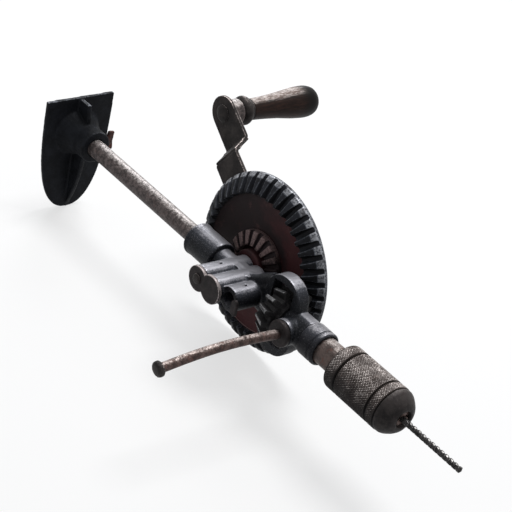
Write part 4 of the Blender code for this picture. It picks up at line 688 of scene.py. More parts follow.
def web_colour(f, zone, rise, broad, fine, grain):
    """Maroon over the gear's web, and pinkish bare metal on the small ring's teeth, both darker where the
    painted light share is low, as painted shade.
    """
    lit = f.attribute("lit")
    # Painted light: the maroon is redder where the painted light share is high, with random tone
    web_light = f.total(lit, f.swing(broad, 1.2))
    maroon = f.mix(f.step(web_light, 0.0, 1.0), (0.0130, 0.0078, 0.0086), (0.050, 0.0150, 0.0165))
    mottle = f.step(f.total(broad, (grain, 0.35)), 0.78, 0.92)
    maroon = f.mix(f.times(mottle, 0.6), maroon, (0.072, 0.038, 0.034))
    tipped = f.total((rise, 0.45), (fine, 0.75))
    pinkish = f.mix(f.step(tipped, 0.58, 0.92), (0.018, 0.012, 0.013), (0.190, 0.132, 0.126))
    # Painted light: the small ring's teeth are darker where the painted light share is low
    ring_light = f.total(lit, f.swing(fine, 0.7))
    pinkish = f.mix(f.step(ring_light, 0.25, 0.75), (0.0150, 0.0100, 0.0105), pinkish)
    on_low_ring = f.times(f.step(zone, 0.35, 0.48), f.rest(f.step(zone, 0.52, 0.62)))
    return f.mix(on_low_ring, maroon, pinkish)


def gear_metal():
    """Maroon web, dark teeth, pale rubbed tooth ends and rim, told apart by the zone and rise of the mesh,
    with painted shade on the faces turned down and painted light over the web.
    """
    f = Finish("aged_gear")
    zone, edge, rise, up = (f.attribute(name) for name in ("zone", "edge", "rise", "top"))
    broad, fine, grain = f.noise(9.0, 5.0, 0.62), f.noise(1.1, 4.0, 0.65), f.noise(0.40, 2.0, 0.7)
    steel = f.mix(f.step(broad, 0.35, 0.65), (0.0085, 0.0094, 0.0118), (0.0220, 0.0240, 0.0300))
    # Wear on tooth edges, with a little painted light on faces towards the light
    rubbed_and_lit = f.total((edge, 0.45, rise), fine, -0.5, (rise, f.step(up, -0.35, 0.85), 0.16))
    rubbed_and_lit = f.step(rubbed_and_lit, 0.24, 0.62)
    # Painted shade: teeth facing down are darker
    steel = f.mix(f.step(up, -0.35, 0.45), (0.0035, 0.0037, 0.0045), steel)
    steel = f.mix(f.times(rubbed_and_lit, 0.8), steel, (0.090, 0.096, 0.112))
    pale_share = f.total(fine, (edge, 0.16))
    rim = f.mix(f.step(pale_share, 0.46, 0.72), (0.036, 0.038, 0.046), (0.300, 0.308, 0.330))
    rim = f.mix(f.step(broad, 0.50, 0.68), rim, (0.036, 0.034, 0.038))
    # Painted shade: the rim facing down is darker
    rim = f.mix(f.step(up, -0.55, 0.55), (0.013, 0.014, 0.017), rim)
    on_teeth = f.step(zone, 0.62, 0.88)
    on_rim = f.step(f.total(zone, f.swing(fine, 0.6)), 1.35, 1.62)
    on_rim = f.times(on_rim, f.step(rise, 0.30, 0.75))
    colour = f.mix(on_rim, f.mix(on_teeth, web_colour(f, zone, rise, broad, fine, grain), steel), rim)
    metallic = f.blend(on_rim, f.blend(on_teeth, 0.20, 0.35), 0.50)
    roughness = f.blend(on_rim, f.blend(rubbed_and_lit, 0.60, 0.46), f.blend(f.step(fine, 0.4, 0.6), 0.50, 0.38))
    return f.finish(colour, roughness, metallic, f.bump(f.total((grain, 0.5), fine), 0.22, 0.20))


def pinion_metal():
    """A dark pinion whose tooth tips alone are rubbed bright."""
    f = Finish("aged_pinion")
    fine = f.noise(0.8, 4.0, 0.65)
    tip = f.step(f.total(f.attribute("rise"), (fine, 0.25)), 1.02, 1.12)
    tip = f.times(tip, f.step(f.attribute("zone"), 0.90, 0.98))
    dark = f.mix(f.step(fine, 0.4, 0.65), (0.0085, 0.0085, 0.0095), (0.024, 0.022, 0.022))
    bright = f.mix(f.step(fine, 0.42, 0.62), (0.075, 0.076, 0.082), (0.270, 0.268, 0.270))
    return f.finish(
        f.mix(tip, dark, bright), f.blend(tip, 0.58, 0.40), f.blend(tip, 0.35, 0.60), f.bump(fine, 0.2, 0.2))


def knurl_metal():
    """Brown-grey knurled steel: dark grooves, rubbed points and patches of rust, painted lighter on the side
    towards the light and darker below, as painted light and shade.
    """
    f = Finish("knurled_steel")
    point = f.attribute("edge")
    top = f.step(f.attribute("top"), -0.45, 0.80)
    broad, fine = f.noise(10.0, 5.0, 0.62), f.noise(1.3, 3.0, 0.65)
    # Painted light: the grooves are lighter on the side towards the light
    groove = f.mix(top, (0.0045, 0.0040, 0.0040), (0.030, 0.023, 0.020))
    face = f.mix(f.step(broad, 0.34, 0.66), (0.070, 0.056, 0.051), (0.150, 0.126, 0.116))
    face = f.mix(f.step(f.noise(5.0, 5.0, 0.7), 0.56, 0.72), face, (0.110, 0.062, 0.050))
    # Painted shade: the faces are darker on the side turned away from the light
    face = f.mix(f.rest(top), face, (0.020, 0.017, 0.0165))
    bright = f.mix(f.step(fine, 0.35, 0.65), (0.240, 0.212, 0.200), (0.600, 0.550, 0.525))
    # Rubbed points, with a painted highlight that shows more towards the light
    rubbed_and_lit = f.step(f.total((point, 0.62), (fine, 0.5), (top, 0.30), f.swing(broad, 0.9)), 0.74, 1.10)
    colour = f.mix(f.times(rubbed_and_lit, 0.95), f.mix(f.step(point, 0.05, 0.55), groove, face), bright)
    roughness, metallic = f.blend(rubbed_and_lit, 0.58, 0.42), f.blend(rubbed_and_lit, 0.30, 0.50)
    return f.finish(colour, roughness, metallic, f.bump(fine, 0.15, 0.15), shine=0.12)


def old_wood():
    """Dark stained hardwood with its grain along the grip, pale along its top: partly wear from hands, partly
    a painted highlight.
    """
    f = Finish("old_wood")
    grain = f.noise(1.2, 6.0, 0.7, stretch=(1.0, 0.07, 1.0), distortion=0.4)
    fibre = f.noise(0.35, 3.0, 0.6, stretch=(1.0, 0.05, 1.0))
    broad = f.noise(14.0, 4.0, 0.55)
    top, end = f.step(f.attribute("top"), 0.35, 0.98), f.attribute("end")
    wood = f.ramp(grain, (
        (0.30, (0.0075, 0.0045, 0.0038)), (0.50, (0.0180, 0.0095, 0.0075)), (0.72, (0.040, 0.019, 0.0135))))
    wood = f.mix(f.step(fibre, 0.52, 0.70), wood, (0.0085, 0.0050, 0.0042))
    # Painted highlight along the side towards the light, mixed with wear
    rubbed_and_lit = f.step(f.total((top, 0.62), (broad, 0.30), (grain, 0.40)), 0.60, 0.92)
    rubbed_and_lit = f.times(rubbed_and_lit, f.rest(f.step(end, 0.3, 0.9)))
    scuffs = f.step(f.noise(1.6, 6.0, 0.75, stretch=(1.0, 0.35, 1.0)), 0.44, 0.60)
    pale = f.mix(scuffs, (0.200, 0.148, 0.128), (0.620, 0.550, 0.515))
    wood = f.mix(f.times(rubbed_and_lit, 0.92), wood, pale)
    wood = f.mix(f.step(end, 0.10, 0.75), wood, (0.0032, 0.0022, 0.0020))
    height = f.total((grain, 0.6), (fibre, 0.5))
    return f.finish(wood, f.blend(rubbed_and_lit, 0.45, 0.38), 0.0, f.bump(height, 0.35, 0.18), shine=0.10)


BLACK_IRON = dict(dark=(0.0050, 0.0056, 0.0070), mid=(0.0100, 0.0112, 0.0142))


def make_finishes():
    # The lit colours and top highlight settings below are painted light and painted highlights on faces
    # towards the light
    return {
        "casting": aged_metal(
            "black_casting", bare_and_lit_colour=(0.290, 0.288, 0.312), rust=(0.036, 0.024, 0.020), edge_gain=1.6,
            speckle=0.50, rust_share=0.03, rough=0.42, pits=0.12, top_highlight_gain=0.98, top_highlight_start=0.25, soft=0.62,
            lit=(0.060, 0.064, 0.078), **BLACK_IRON),
        "plate": aged_metal(
            "black_plate", bare_and_lit_colour=(0.200, 0.210, 0.235), rust=(0.018, 0.016, 0.016), edge_gain=3.6,
            speckle=0.04, rust_share=0.02, rough=0.55, metal=0.3, pits=0.20, top_highlight_gain=0.26, lit_side_weight=0.8,
            shine=0.10, **BLACK_IRON),
        "cup": aged_metal(
            "black_cup", bare_and_lit_colour=(0.290, 0.284, 0.300), rust=(0.020, 0.018, 0.018), edge_gain=2.2,
            speckle=0.45, rust_share=0.02, rough=0.42, pits=0.14, top_highlight_gain=0.75, lit_side_weight=0.6,
            top_highlight_start=0.25, soft=0.62, lit=(0.050, 0.053, 0.064), dark=(0.0062, 0.0066, 0.0085),
            mid=(0.0135, 0.0135, 0.0165)),
        "tube": aged_metal(
            "brown_tube", dark=(0.042, 0.035, 0.034), mid=(0.125, 0.102, 0.098), bare_and_lit_colour=(0.420, 0.385, 0.372),
            rust=(0.120, 0.080, 0.072), edge_gain=1.2, rust_share=0.30, rough=0.44, pits=0.10, spread=2.5,
            top_highlight_gain=0.62, bare_metal=0.45, lit_side_weight=0.75, top_highlight_start=0.05, skin_grain=0.5),
        "rusty": aged_metal(
            "rusty_iron", dark=(0.046, 0.032, 0.029), mid=(0.130, 0.088, 0.078), bare_and_lit_colour=(0.430, 0.370, 0.345),
            rust=(0.150, 0.080, 0.066), edge_gain=1.6, rust_share=0.40, pits=0.15, spread=3.0,
            top_highlight_gain=0.50, lit_side_weight=0.7, top_highlight_start=0.10, skin_grain=0.4),
        "dark": aged_metal(
            "dark_iron", dark=(0.0150, 0.0132, 0.0130), mid=(0.040, 0.0345, 0.0325),
            bare_and_lit_colour=(0.480, 0.415, 0.395), rust=(0.036, 0.024, 0.021), edge_gain=6.5, speckle=0.12,
            rust_share=0.12, pits=0.16, top_highlight_gain=0.14, lit_side_weight=0.55),
        "latch": aged_metal(
            "dark_latch", dark=(0.012, 0.0102, 0.0105), mid=(0.026, 0.0212, 0.0215),
            bare_and_lit_colour=(0.330, 0.290, 0.285), rust=(0.036, 0.021, 0.019), edge_gain=1.5, speckle=0.10,
            rust_share=0.12, pits=0.18, spread=5.0, top_highlight_gain=0.20, lit_side_weight=0.55),
        "bright": aged_metal(
            "worn_steel", dark=(0.045, 0.041, 0.039), mid=(0.110, 0.102, 0.096), bare_and_lit_colour=(0.340, 0.325, 0.310),
            rust=(0.075, 0.045, 0.035), edge_gain=1.4, speckle=0.6, rust_share=0.25, rough=0.40, pits=0.15,
            metal=0.6, bare_metal=0.75),
        "knurl": knurl_metal(),
        "nose": aged_metal(
            "nose_steel", dark=(0.011, 0.0096, 0.0098), mid=(0.030, 0.026, 0.025),
            bare_and_lit_colour=(0.200, 0.180, 0.172), rust=(0.034, 0.024, 0.022), edge_gain=1.8, speckle=0.25,
            rust_share=0.20, pits=0.16, spread=6.0, top_highlight_gain=0.45, soft=0.70, lit=(0.058, 0.050, 0.048)),
        "shank": aged_metal(
            "shank_steel", dark=(0.040, 0.031, 0.028), mid=(0.115, 0.086, 0.077),
            bare_and_lit_colour=(0.400, 0.360, 0.340), rust=(0.130, 0.066, 0.052), edge_gain=1.2, speckle=0.35,
            rust_share=0.35, rough=0.40, pits=0.18, spread=6.0, top_highlight_gain=0.55, lit_side_weight=0.7,
            top_highlight_start=0.20),
        "bit": aged_metal(
            "bit_steel", dark=(0.012, 0.0115, 0.0115), mid=(0.048, 0.046, 0.045),
            bare_and_lit_colour=(0.330, 0.320, 0.312), rust=(0.036, 0.026, 0.022), edge_gain=1.5, speckle=0.75,
            rust_share=0.10, rough=0.38, pits=0.15, metal=0.5, bare_metal=0.75, spread=4.0, top_highlight_gain=0.40,
            lit_side_weight=0.75),
        "screw": aged_metal(
            "red_rust", dark=(0.040, 0.024, 0.022), mid=(0.090, 0.054, 0.048), bare_and_lit_colour=(0.380, 0.290, 0.270),
            rust=(0.090, 0.036, 0.030), edge_gain=2.0, speckle=0.2, rust_share=0.7, rough=0.55, metal=0.3,
            pits=0.35, spread=4.0, top_highlight_gain=0.30, lit_side_weight=0.7),
        "gear": gear_metal(),
        "pinion": pinion_metal(),
        "wood": old_wood(),
    }


FINISHES = make_finishes()


def coat(mesh, *finishes):
    mesh.materials.clear()
    for finish in finishes:
        mesh.materials.append(FINISHES[finish])


def dress(thing, finish, body, node):
    """Gives a piece its finish and its body, and hides the node that it stands for."""
    # How far each face turns towards the light, for the painted light and shade of its finish
    write_layer(thing.data, "top", normals_of(thing.data) @ np.array(TOP_DIRECTION))
    coat(thing.data, finish)
    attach(thing, body)
    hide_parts(node)


def skinned(node, name, voxel, relax, cast, finish, body):
    """A CAD node with a soft and roughened skin, dressed."""
    dress(remeshed(copy_of(node, name), voxel, relax, cast), finish, body, node)


# Breast plate and tube
TUBE_BORE = 4.5


def make_plate():
    plate = remeshed(copy_of("breast_plate", "breast_plate_casting"), 0.55, 5, (0.06, 1.8, 3.1))
    place = points_of(plate.data)
    place[:, 0] = np.maximum(place[:, 0], CAD_BOX[0][0])
    move_points(plate.data, place)
    dress(plate, "plate", "breast_plate", "breast_plate")
    skinned(
        "thumb_screw", "thumb_screw_forged", 0.30, 4, (0.10, 1.4, 8.2), "screw", "thumb_screw")


def make_tube():
    (start, end), radius = span("frame_tube", 0), radius_of("frame_tube", 1)
    profile = [(radius, start, 0.2), (radius, end, 0.2), (TUBE_BORE, end, 0.2), (TUBE_BORE, start, 0.2)]
    tube = turned("steel_tube", SPINDLE_LINE, profile, 72, 0.9, relief=dented(0.035, 1.6, 2.0))
    dress(tube, "tube", "frame", "frame_tube")


# Cast frame
CUP_BORE, CUP_MOUTH = 9.7, 9.55
CUP_MOUTH_DEPTH = 3.5
CUP_GROOVE_START = 8.96
CUP_GROOVE_DEPTH = 0.5
SHADE_FADE = 3.5

# Round bars that fill the corners between the casting's neck and its web: start, end, radius
WEB_BARS = (
    ((211.0, -0.8, 6.6), (228.0, -0.2, 17.4), 4.2), ((211.0, -0.8, 3.0), (228.0, -0.2, 10.5), 4.2),
    ((206.0, 0.0, 5.4), (224.0, 0.0, 8.6), 3.2), ((206.0, 0.0, -5.4), (224.0, 0.0, -8.6), 3.2),
)

# Boxes of the frame painted darker as shade, with less painted top light: low corner, high corner, how much
# less
PAINTED_SHADE_BOXES = (
    ((247.0, -9.5, -12.0), (266.0, -4.0, 14.0), 0.60),
    ((218.0, -2.0, -12.0), (226.0, 2.0, 20.0), 0.45),
)


def shade_tops(thing, low, high, amount):
    """Paints shade on the faces in a box of the frame by lowering their facing towards the light, fading out
    around it.
    """
    place = points_of(thing.data) / MM
    inside = np.minimum(place - np.array(low), np.array(high) - place).min(axis=1)
    share = np.clip(inside / SHADE_FADE + 1.0, 0.0, 1.0)
    tops = rows_of(thing.data.attributes["top"].data, "value", 1, np.float32)[:, 0]
    write_layer(thing.data, "top", tops - (amount * share * share * (3 - 2 * share)).astype(np.float32))


def bar_between(start, end, radius):
    low, high, radius = Vector(start) * MM, Vector(end) * MM, radius * MM
    shape = bmesh.new()
    bmesh.ops.create_cone(
        shape, cap_ends=True, segments=12, radius1=radius, radius2=radius, depth=(high - low).length)
    mesh = bpy.data.meshes.new("bar")
    shape.to_mesh(mesh)
    shape.free()
    bar = linked("bar", mesh)
    turn = (high - low).to_track_quat("Z", "Y").to_matrix().to_4x4()
    bar.matrix_world = Matrix.Translation((low + high) / 2) @ turn
    return bar


def make_casting():
    casting = joined(copy_of("main_frame", "frame_casting"), [bar_between(*bar) for bar in WEB_BARS])
    remeshed(casting, 0.50, 7, (0.03, 1.2, 1.7))
    dress(casting, "casting", "frame", "main_frame")
    # Painted shade over parts of the frame
    for low, high, amount in PAINTED_SHADE_BOXES:
        shade_tops(casting, low, high, amount)


def make_cup():
    (start, end), radius = span("bearing_cup", 0), radius_of("bearing_cup", 1)
    groove, groove_start = radius - CUP_GROOVE_DEPTH, start + CUP_GROOVE_START
    profile = [
        (CUP_BORE, start, 0.2), (radius - 0.15, start, 0.4), (radius, start + 0.76, 0.3),
        (radius, groove_start, 0.5), (groove, groove_start + 0.6, 0.3), (groove, groove_start + 1.2, 0.3),
        (radius, groove_start + 1.8, 0.4), (radius, end - 1.14, 0.7), (radius - 1.0, end, 0.4),
        (CUP_MOUTH, end, 0.3), (CUP_MOUTH, end - CUP_MOUTH_DEPTH, 0.1),
        (CUP_BORE, end - CUP_MOUTH_DEPTH - 0.3, 0.1),
    ]
    cup = turned("bearing_cup_turned", SPINDLE_LINE, profile, 72, 0.8, relief=dented(0.05, 2.4, 6.0))
    dress(cup, "cup", "frame", "bearing_cup")


# Side handle
COLLAR_BORE = 2.95
ROD_SEAT_RADIUS = 2.65
ROD_RADIUS = 3.05
ROD_START, ROD_END = -18.3, -106.0
ROD_BOW, ROD_DROP = 3.0, 2.0
ROD_AROUND = 28
ROD_BENDS = 72


def make_side_handle():
    (outside, seat), radius = span("side_handle_collar", 1), radius_of("side_handle_collar", 2)
    profile = [
        (COLLAR_BORE, seat, 0.2), (radius - 0.4, seat, 0.0), (radius, seat - 0.4, 1.2),
        (radius, outside + 0.8, 1.6), (radius - 0.4, outside + 0.2, 1.4), (radius - 0.8, outside, 0.2),
        (COLLAR_BORE, outside, 0.0),
    ]
    ring = turned("side_collar_turned", SIDE_LINE, profile, 56, 0.6, relief=dented(0.05, 2.0, 4.0))
    dress(ring, "latch", "frame", "side_handle_collar")
    dress(rod_skin(seat), "rusty", "frame", "side_handle_rod")
    skinned("side_handle_cap", "side_cap_turned", 0.28, 3, (0.07, 1.4, 5.0), "dark", "frame")


def rod_places(seat):
    """The (y, z) places of the rod's middle line: straight through its boss and collar, then arched."""
    inside = span("side_handle_rod", 1)[1]
    places = [(inside, 0.0), ((inside + seat) / 2, 0.0), (seat, 0.0), (ROD_START, 0.0)]
    for i in range(1, ROD_BENDS + 1):
        share = i / ROD_BENDS
        rise = ROD_BOW * math.sin(math.pi * share) - ROD_DROP * share
        places.append((ROD_START + (ROD_END - ROD_START) * share, rise))
    return places


def rod_skin(seat):
    """The bent rod: round sections along its arched middle line, a little uneven."""
    places = rod_places(seat)
    last = len(places) - 1
    vertices = []
    for i, (y, z) in enumerate(places):
        (y0, z0), (y1, z1) = places[max(i - 1, 0)], places[min(i + 1, last)]
        along = Vector((0, y1 - y0, z1 - z0)).normalized()
        side = Vector((1, 0, 0))
        up = side.cross(along)
        girth = (ROD_SEAT_RADIUS if y > ROD_START - 0.1 else ROD_RADIUS) - (0.25 if i in (0, last) else 0.0)
        for j in range(ROD_AROUND):
            angle = 2 * math.pi * j / ROD_AROUND
            across = side * math.cos(angle) + up * math.sin(angle)
            point = Vector((SIDE_BOSS_X, y, z)) + across * girth
            vertices.append((point - across * 0.04 * abs(soft_noise(point / 1.6))) * MM)
    rod = new_object("side_rod_bent", vertices, capped_faces(len(places), ROD_AROUND), smooth_angle=60)
    return write_edges(rod, 1)


# Latch
LATCH_DISC = 9.5
LATCH_LOBE = 8.6
LATCH_INNER = span("latch_plate", 1)[1]
LATCH_OUTER = span("latch_plate", 1)[0]

# From the inner face round to the outer one: depth, how far the outline is drawn in, edge value
LATCH_ROWS = (
    (LATCH_INNER, 1.0, 0.0), (LATCH_INNER, 0.15, 0.6), (LATCH_INNER - 0.15, 0.0, 0.8),
    (LATCH_OUTER + 0.35, 0.0, 0.5), (LATCH_OUTER + 0.12, 0.08, 0.9), (LATCH_OUTER, 0.35, 0.9),
    (LATCH_OUTER, 0.7, 0.3), (LATCH_OUTER, 1.3, 0.0), (LATCH_OUTER, 2.0, 0.0),
)


def notch(near, far):
    """Where the outlines of two discs one boss apart cross, as an angle about the near one."""
    pitch = MIDDLE_BOSS_X - AXLE_X
    return math.acos((pitch ** 2 + near ** 2 - far ** 2) / (2 * pitch * near))


def two_discs(inset, steps=40):
    """The latch plate's outline, drawn in by an inset, as (x, z) points."""
    disc, lobe = LATCH_DISC - inset, LATCH_LOBE - inset
    at_disc, at_lobe = notch(disc, lobe), notch(lobe, disc)
    points = []
    for i in range(steps):
        angle = at_disc - math.pi + (2 * math.pi - 2 * at_disc) * i / (steps - 1)
        points.append((MIDDLE_BOSS_X + disc * math.cos(angle), disc * math.sin(angle)))
    for i in range(1, steps - 1):
        angle = at_lobe + (2 * math.pi - 2 * at_lobe) * i / (steps - 1)
        points.append((AXLE_X + lobe * math.cos(angle), lobe * math.sin(angle)))
    return points


def make_latch_plate():
    vertices = []
    edges = []
    for depth, inset, edge in LATCH_ROWS:
        for x, z in two_discs(inset):
            dent = 0.05 * soft_noise(Vector((x, z, depth)) / 2.4)
            vertices.append((x * MM, (depth + max(0.0, dent)) * MM, z * MM))
            edges.append(edge)
    faces = capped_faces(len(LATCH_ROWS), len(vertices) // len(LATCH_ROWS))
    plate = new_object("latch_plate_worn", vertices, faces, {"edge": edges}, smooth_angle=60)
    dress(plate, "latch", "latch", "latch_plate")


def make_latch():
    make_latch_plate()
    face, inner, radius = LATCH_INNER + 0.1, span("latch_pin", 1)[1], radius_of("latch_pin", 2)
    shank = [(0.0, face, 0.0), (radius, face, 0.2), (radius, inner, 0.2), (0.0, inner, 0.0)]
    pin = turned("latch_pin_turned", LATCH_LINE, shank, 32, 2.0, closed=False)
    dress(pin, "dark", "frame", "latch_pin")
    skinned("latch_button", "latch_button_worn", 0.20, 3, (0.05, 1.1, 7.4), "dark", "latch")
    skinned("latch_stop", "latch_stop_worn", 0.25, 4, (0.08, 1.2, 9.4), "latch", "frame")


# Crank
ARM_FOLDS = (75.9, 82.5)
ARM_RISE = 13.0
FOLD_REACH = 2.4

SPACER_BORE = 3.3
PIN_RADIUS = 3.0
PIN_END_RADIUS = 4.8
PIN_HEAD_HEIGHT = 1.8


def soften_folds(arm):
    """Bends the arm's two sharp folds into round ones."""
    along = Vector((GRIP_X - AXLE_X, 0, GRIP_Z)).normalized()
    slope = ARM_RISE / (ARM_FOLDS[1] - ARM_FOLDS[0])
    mesh = arm.data
    place = points_of(mesh)
    lit_side_share = (place - np.array((AXLE_X * MM, 0, 0))) @ np.array(along) / MM
    for fold, sign in zip(ARM_FOLDS, (1, -1)):
        near = np.maximum(0.0, FOLD_REACH - np.abs(lit_side_share - fold))
        place[:, 1] += sign * slope * near ** 2 / (4 * FOLD_REACH) * MM
    move_points(arm.data, place)


def make_arm():
    arm = remeshed(copy_of("crank_arm", "crank_arm_forged"), 0.42, 3)
    soften_folds(arm)
    roughen(arm, 0.06, 2.2, 4.4)
    dress(arm, "dark", "crank", "crank_arm")


def make_spacer():
    (start, end), radius = span("grip_spacer", 1), radius_of("grip_spacer", 0)
    profile = [
        (SPACER_BORE, start, 0.2), (radius, start, 0.3), (radius, end - 0.78, 0.5),
        (radius - 0.8, end, 0.3), (SPACER_BORE, end, 0.2),
    ]
    spacer = turned("grip_spacer_turned", GRIP_LINE, profile, 56, 0.7, relief=dented(0.06, 2.6, 1.0))
    dress(spacer, "tube", "crank", "grip_spacer")


def make_grip_pin():
    (start, end), head = span("grip_pin", 1), radius_of("grip_pin", 0)
    head_base, tail_base = start + PIN_HEAD_HEIGHT, end - PIN_HEAD_HEIGHT
    profile = [
        (0.0, start, 0.0), (2.6, start + 0.08, 0.3), (4.8, start + 0.64, 0.4), (head, head_base, 0.2),
        (PIN_RADIUS, head_base, 0.1), (PIN_RADIUS, tail_base, 0.1), (PIN_END_RADIUS, tail_base, 0.2),
        (PIN_END_RADIUS, end, 0.4), (0.0, end, 0.0),
    ]
    pin = turned("grip_pin_turned", GRIP_LINE, profile, 40, 1.5, closed=False)
    dress(pin, "dark", "crank", "grip_pin")


def make_crank():
    make_gear()
    make_arm()
    skinned("crank_nut", "crank_nut_worn", 0.28, 3, (0.06, 1.5, 6.4), "dark", "crank")
    make_spacer()
    make_grip_pin()


# Grip
GRIP_BORE = 3.3
FERRULE_NECK = 7.7
BEAD_SHARE = 0.84
GRIP_SMALL = 7.4
RECESS_RADIUS = 5.1
RECESS_DEPTH = 4.0
GRIP_ROWS = 40
GRIP_PLACES = (0.0, 0.12, 0.28, 0.45, 0.62, 0.74, 0.84, 0.92, 0.97, 1.0)
GRIP_SWELLS = (0.0, 0.06, 0.22, 0.48, 0.82, 0.98, 1.0, 0.78, 0.36, -0.25)


def make_ferrule(steps=10):
    (start, end), bead = span("grip_ferrule", 1), radius_of("grip_ferrule", 0)
    length = end - start
    profile = [(GRIP_BORE, start, 0.2), (FERRULE_NECK, start, 0.2)]
    for i in range(1, steps):
        bulge = math.sin(math.pi * i / steps) ** 0.8
        radius = FERRULE_NECK + (bead - FERRULE_NECK) * bulge
        profile.append((radius, start + length * BEAD_SHARE * i / steps, 0.15))
    profile += [(FERRULE_NECK, start + length * BEAD_SHARE, 0.2), (FERRULE_NECK, start + length * 0.95, 0.2)]
    profile += [(FERRULE_NECK - 0.4, end, 0.15), (GRIP_BORE, end, 0.2)]
    ferrule = turned("grip_ferrule_turned", GRIP_LINE, profile, 56, 0.6, relief=dented(0.04, 2.2, 3.0))
    dress(ferrule, "dark", "grip", "grip_ferrule")


def make_grip():
    (start, end), large = span("wooden_grip", 1), radius_of("wooden_grip", 0)
    length = end - start
    profile = [(GRIP_BORE, start, 0.1)]
    for i in range(GRIP_ROWS + 1):
        share = i / GRIP_ROWS
        swell = smooth_through(share, GRIP_PLACES, GRIP_SWELLS)
        profile.append((GRIP_SMALL + (large - GRIP_SMALL) * swell, start + length * share, 0.25))
    floor = end - RECESS_DEPTH
    profile += [(RECESS_RADIUS, end, 0.2), (RECESS_RADIUS, floor, 0.1), (GRIP_BORE, floor, 0.1)]
    grip = turned("wooden_grip_turned", GRIP_LINE, profile, 72, 1.4, relief=dented(0.10, 9.0, 5.0))
    share = (points_of(grip.data)[:, 1] / MM - start) / length
    write_layer(grip.data, "end", np.clip((share - 0.62) / 0.3, 0, 1))
    dress(grip, "wood", "grip", "wooden_grip")


def smooth_through(share, places, values):
    """A smooth curve through a table of values."""
    count = len(places)
    i = max(k for k in range(count - 1) if places[k] <= share or k == 0)
    slopes = []
    for k in (i, i + 1):
        low, high = max(k - 1, 0), min(k + 1, count - 1)
        slopes.append((values[high] - values[low]) / (places[high] - places[low]))
    width = places[i + 1] - places[i]
    t = (share - places[i]) / width
    return ((2 * t ** 3 - 3 * t ** 2 + 1) * values[i] + (t ** 3 - 2 * t ** 2 + t) * width * slopes[0]
            + (3 * t ** 2 - 2 * t ** 3) * values[i + 1] + (t ** 3 - t ** 2) * width * slopes[1])


# Spindle and chuck
KNURL_LINES = 78
KNURL_DEPTH = 0.42
KNURL_SAMPLES = 6
KNURL_PITCH = 2 * math.pi * CHUCK_RADIUS / KNURL_LINES
KNURL_SLOPE = math.tan(math.radians(34))
GROOVE_X = SLEEVE_END - 0.197 * (SLEEVE_END - SLEEVE_START)
GROOVE_HALF = 0.85
GROOVE_DEPTH = 1.0


def knurl_height(angle, place):
    """0 in the knurl's grooves and 1 on its points."""
    around = angle * KNURL_LINES / (2 * math.pi)
    along = place * KNURL_SLOPE / KNURL_PITCH
    first = abs((around + along) % 1.0 - 0.5) * 2
    second = abs((around - along) % 1.0 - 0.5) * 2
    return min(1.0, min(1 - first, 1 - second) * 1.25)


def knurl_share(place, bands):
    """1 inside a knurled band and 0 outside, with a short run-out."""
    return max(max(0.0, min(1.0, (place - start) / 0.4, (end - place) / 0.4)) for start, end in bands)


def knurled(bands):
    """The relief and the shade of crossed spiral grooves in some bands of a round piece."""
    def relief(angle, place, radius):
        if radius < CHUCK_RADIUS - 0.3:
            return 0.0
        share = knurl_share(place, bands)
        point = Vector((math.cos(angle) * radius, math.sin(angle) * radius, place)) / 6.0
        wear = 0.75 + 0.25 * noise.noise(point)
        return KNURL_DEPTH * (1 - knurl_height(angle, place)) * share * wear + 0.05 * (1 - share)

    def shade(angle, place, radius):
        if radius < CHUCK_RADIUS - 0.3:
            return -0.8
        share = knurl_share(place, bands)
        return share * knurl_height(angle, place) + (1 - share) * 0.25
    return {"relief": relief, "shade": shade}


def knurled_piece(name, profile, bands):
    spacing = KNURL_PITCH / KNURL_SLOPE / KNURL_SAMPLES
    return turned(name, SPINDLE_LINE, profile, KNURL_LINES * KNURL_SAMPLES, spacing, **knurled(bands))


RING_BORE = 9.3
RING_BEVEL, RING_BEVEL_LENGTH = 3.4, 1.55
RING_KNURL_START = 2.2
SLEEVE_BORE = 9.3
SLEEVE_WALL = 2.1
FLANGE_DEPTH = 7.4
NOSE_BEVEL = 0.6
MOUTH_RADIUS = 5.2
MOUTH_LIP = 7.4
MOUTH_DEPTH = 6.0
MOUTH_SHARE = 0.45


def make_rear_ring():
    start, end, radius = RING_START, RING_END, CHUCK_RADIUS
    profile = [
        (RING_BORE, start, 0.2), (radius - RING_BEVEL, start, 0.3),
        (radius - 0.25, start + RING_BEVEL_LENGTH, 0.5), (radius, start + RING_KNURL_START + 0.1, 0.2),
        (radius, end - GROOVE_HALF, 0.25), (radius - GROOVE_DEPTH, end, 0.1), (RING_BORE, end, 0.2),
    ]
    ring = knurled_piece("chuck_rear_ring_knurled", profile, [(start + RING_KNURL_START, end - GROOVE_HALF)])
    dress(ring, "knurl", "spindle", "chuck_rear_ring")


def make_sleeve():
    start, end, radius = SLEEVE_START, SLEEVE_END, CHUCK_RADIUS
    flange, wall, low = end - FLANGE_DEPTH, radius - SLEEVE_WALL, radius - GROOVE_DEPTH
    groove_start, groove_end = GROOVE_X - GROOVE_HALF, GROOVE_X + GROOVE_HALF
    profile = [
        (wall, start, 0.1), (low, start, 0.1), (radius, start + GROOVE_HALF, 0.25),
        (radius, groove_start, 0.25), (low, GROOVE_X - 0.35, 0.15), (low, GROOVE_X + 0.35, 0.15),
        (radius, groove_end, 0.25), (radius, end - NOSE_BEVEL, 0.2), (radius - 0.5, end, 0.1),
        (SLEEVE_BORE, end, 0.2), (SLEEVE_BORE, flange, 0.1), (wall, flange, 0.1),
    ]
    bands = [(start + GROOVE_HALF, groove_start), (groove_end, end - NOSE_BEVEL)]
    sleeve = knurled_piece("chuck_sleeve_knurled", profile, bands)
    dress(sleeve, "knurl", "sleeve", "chuck_sleeve")


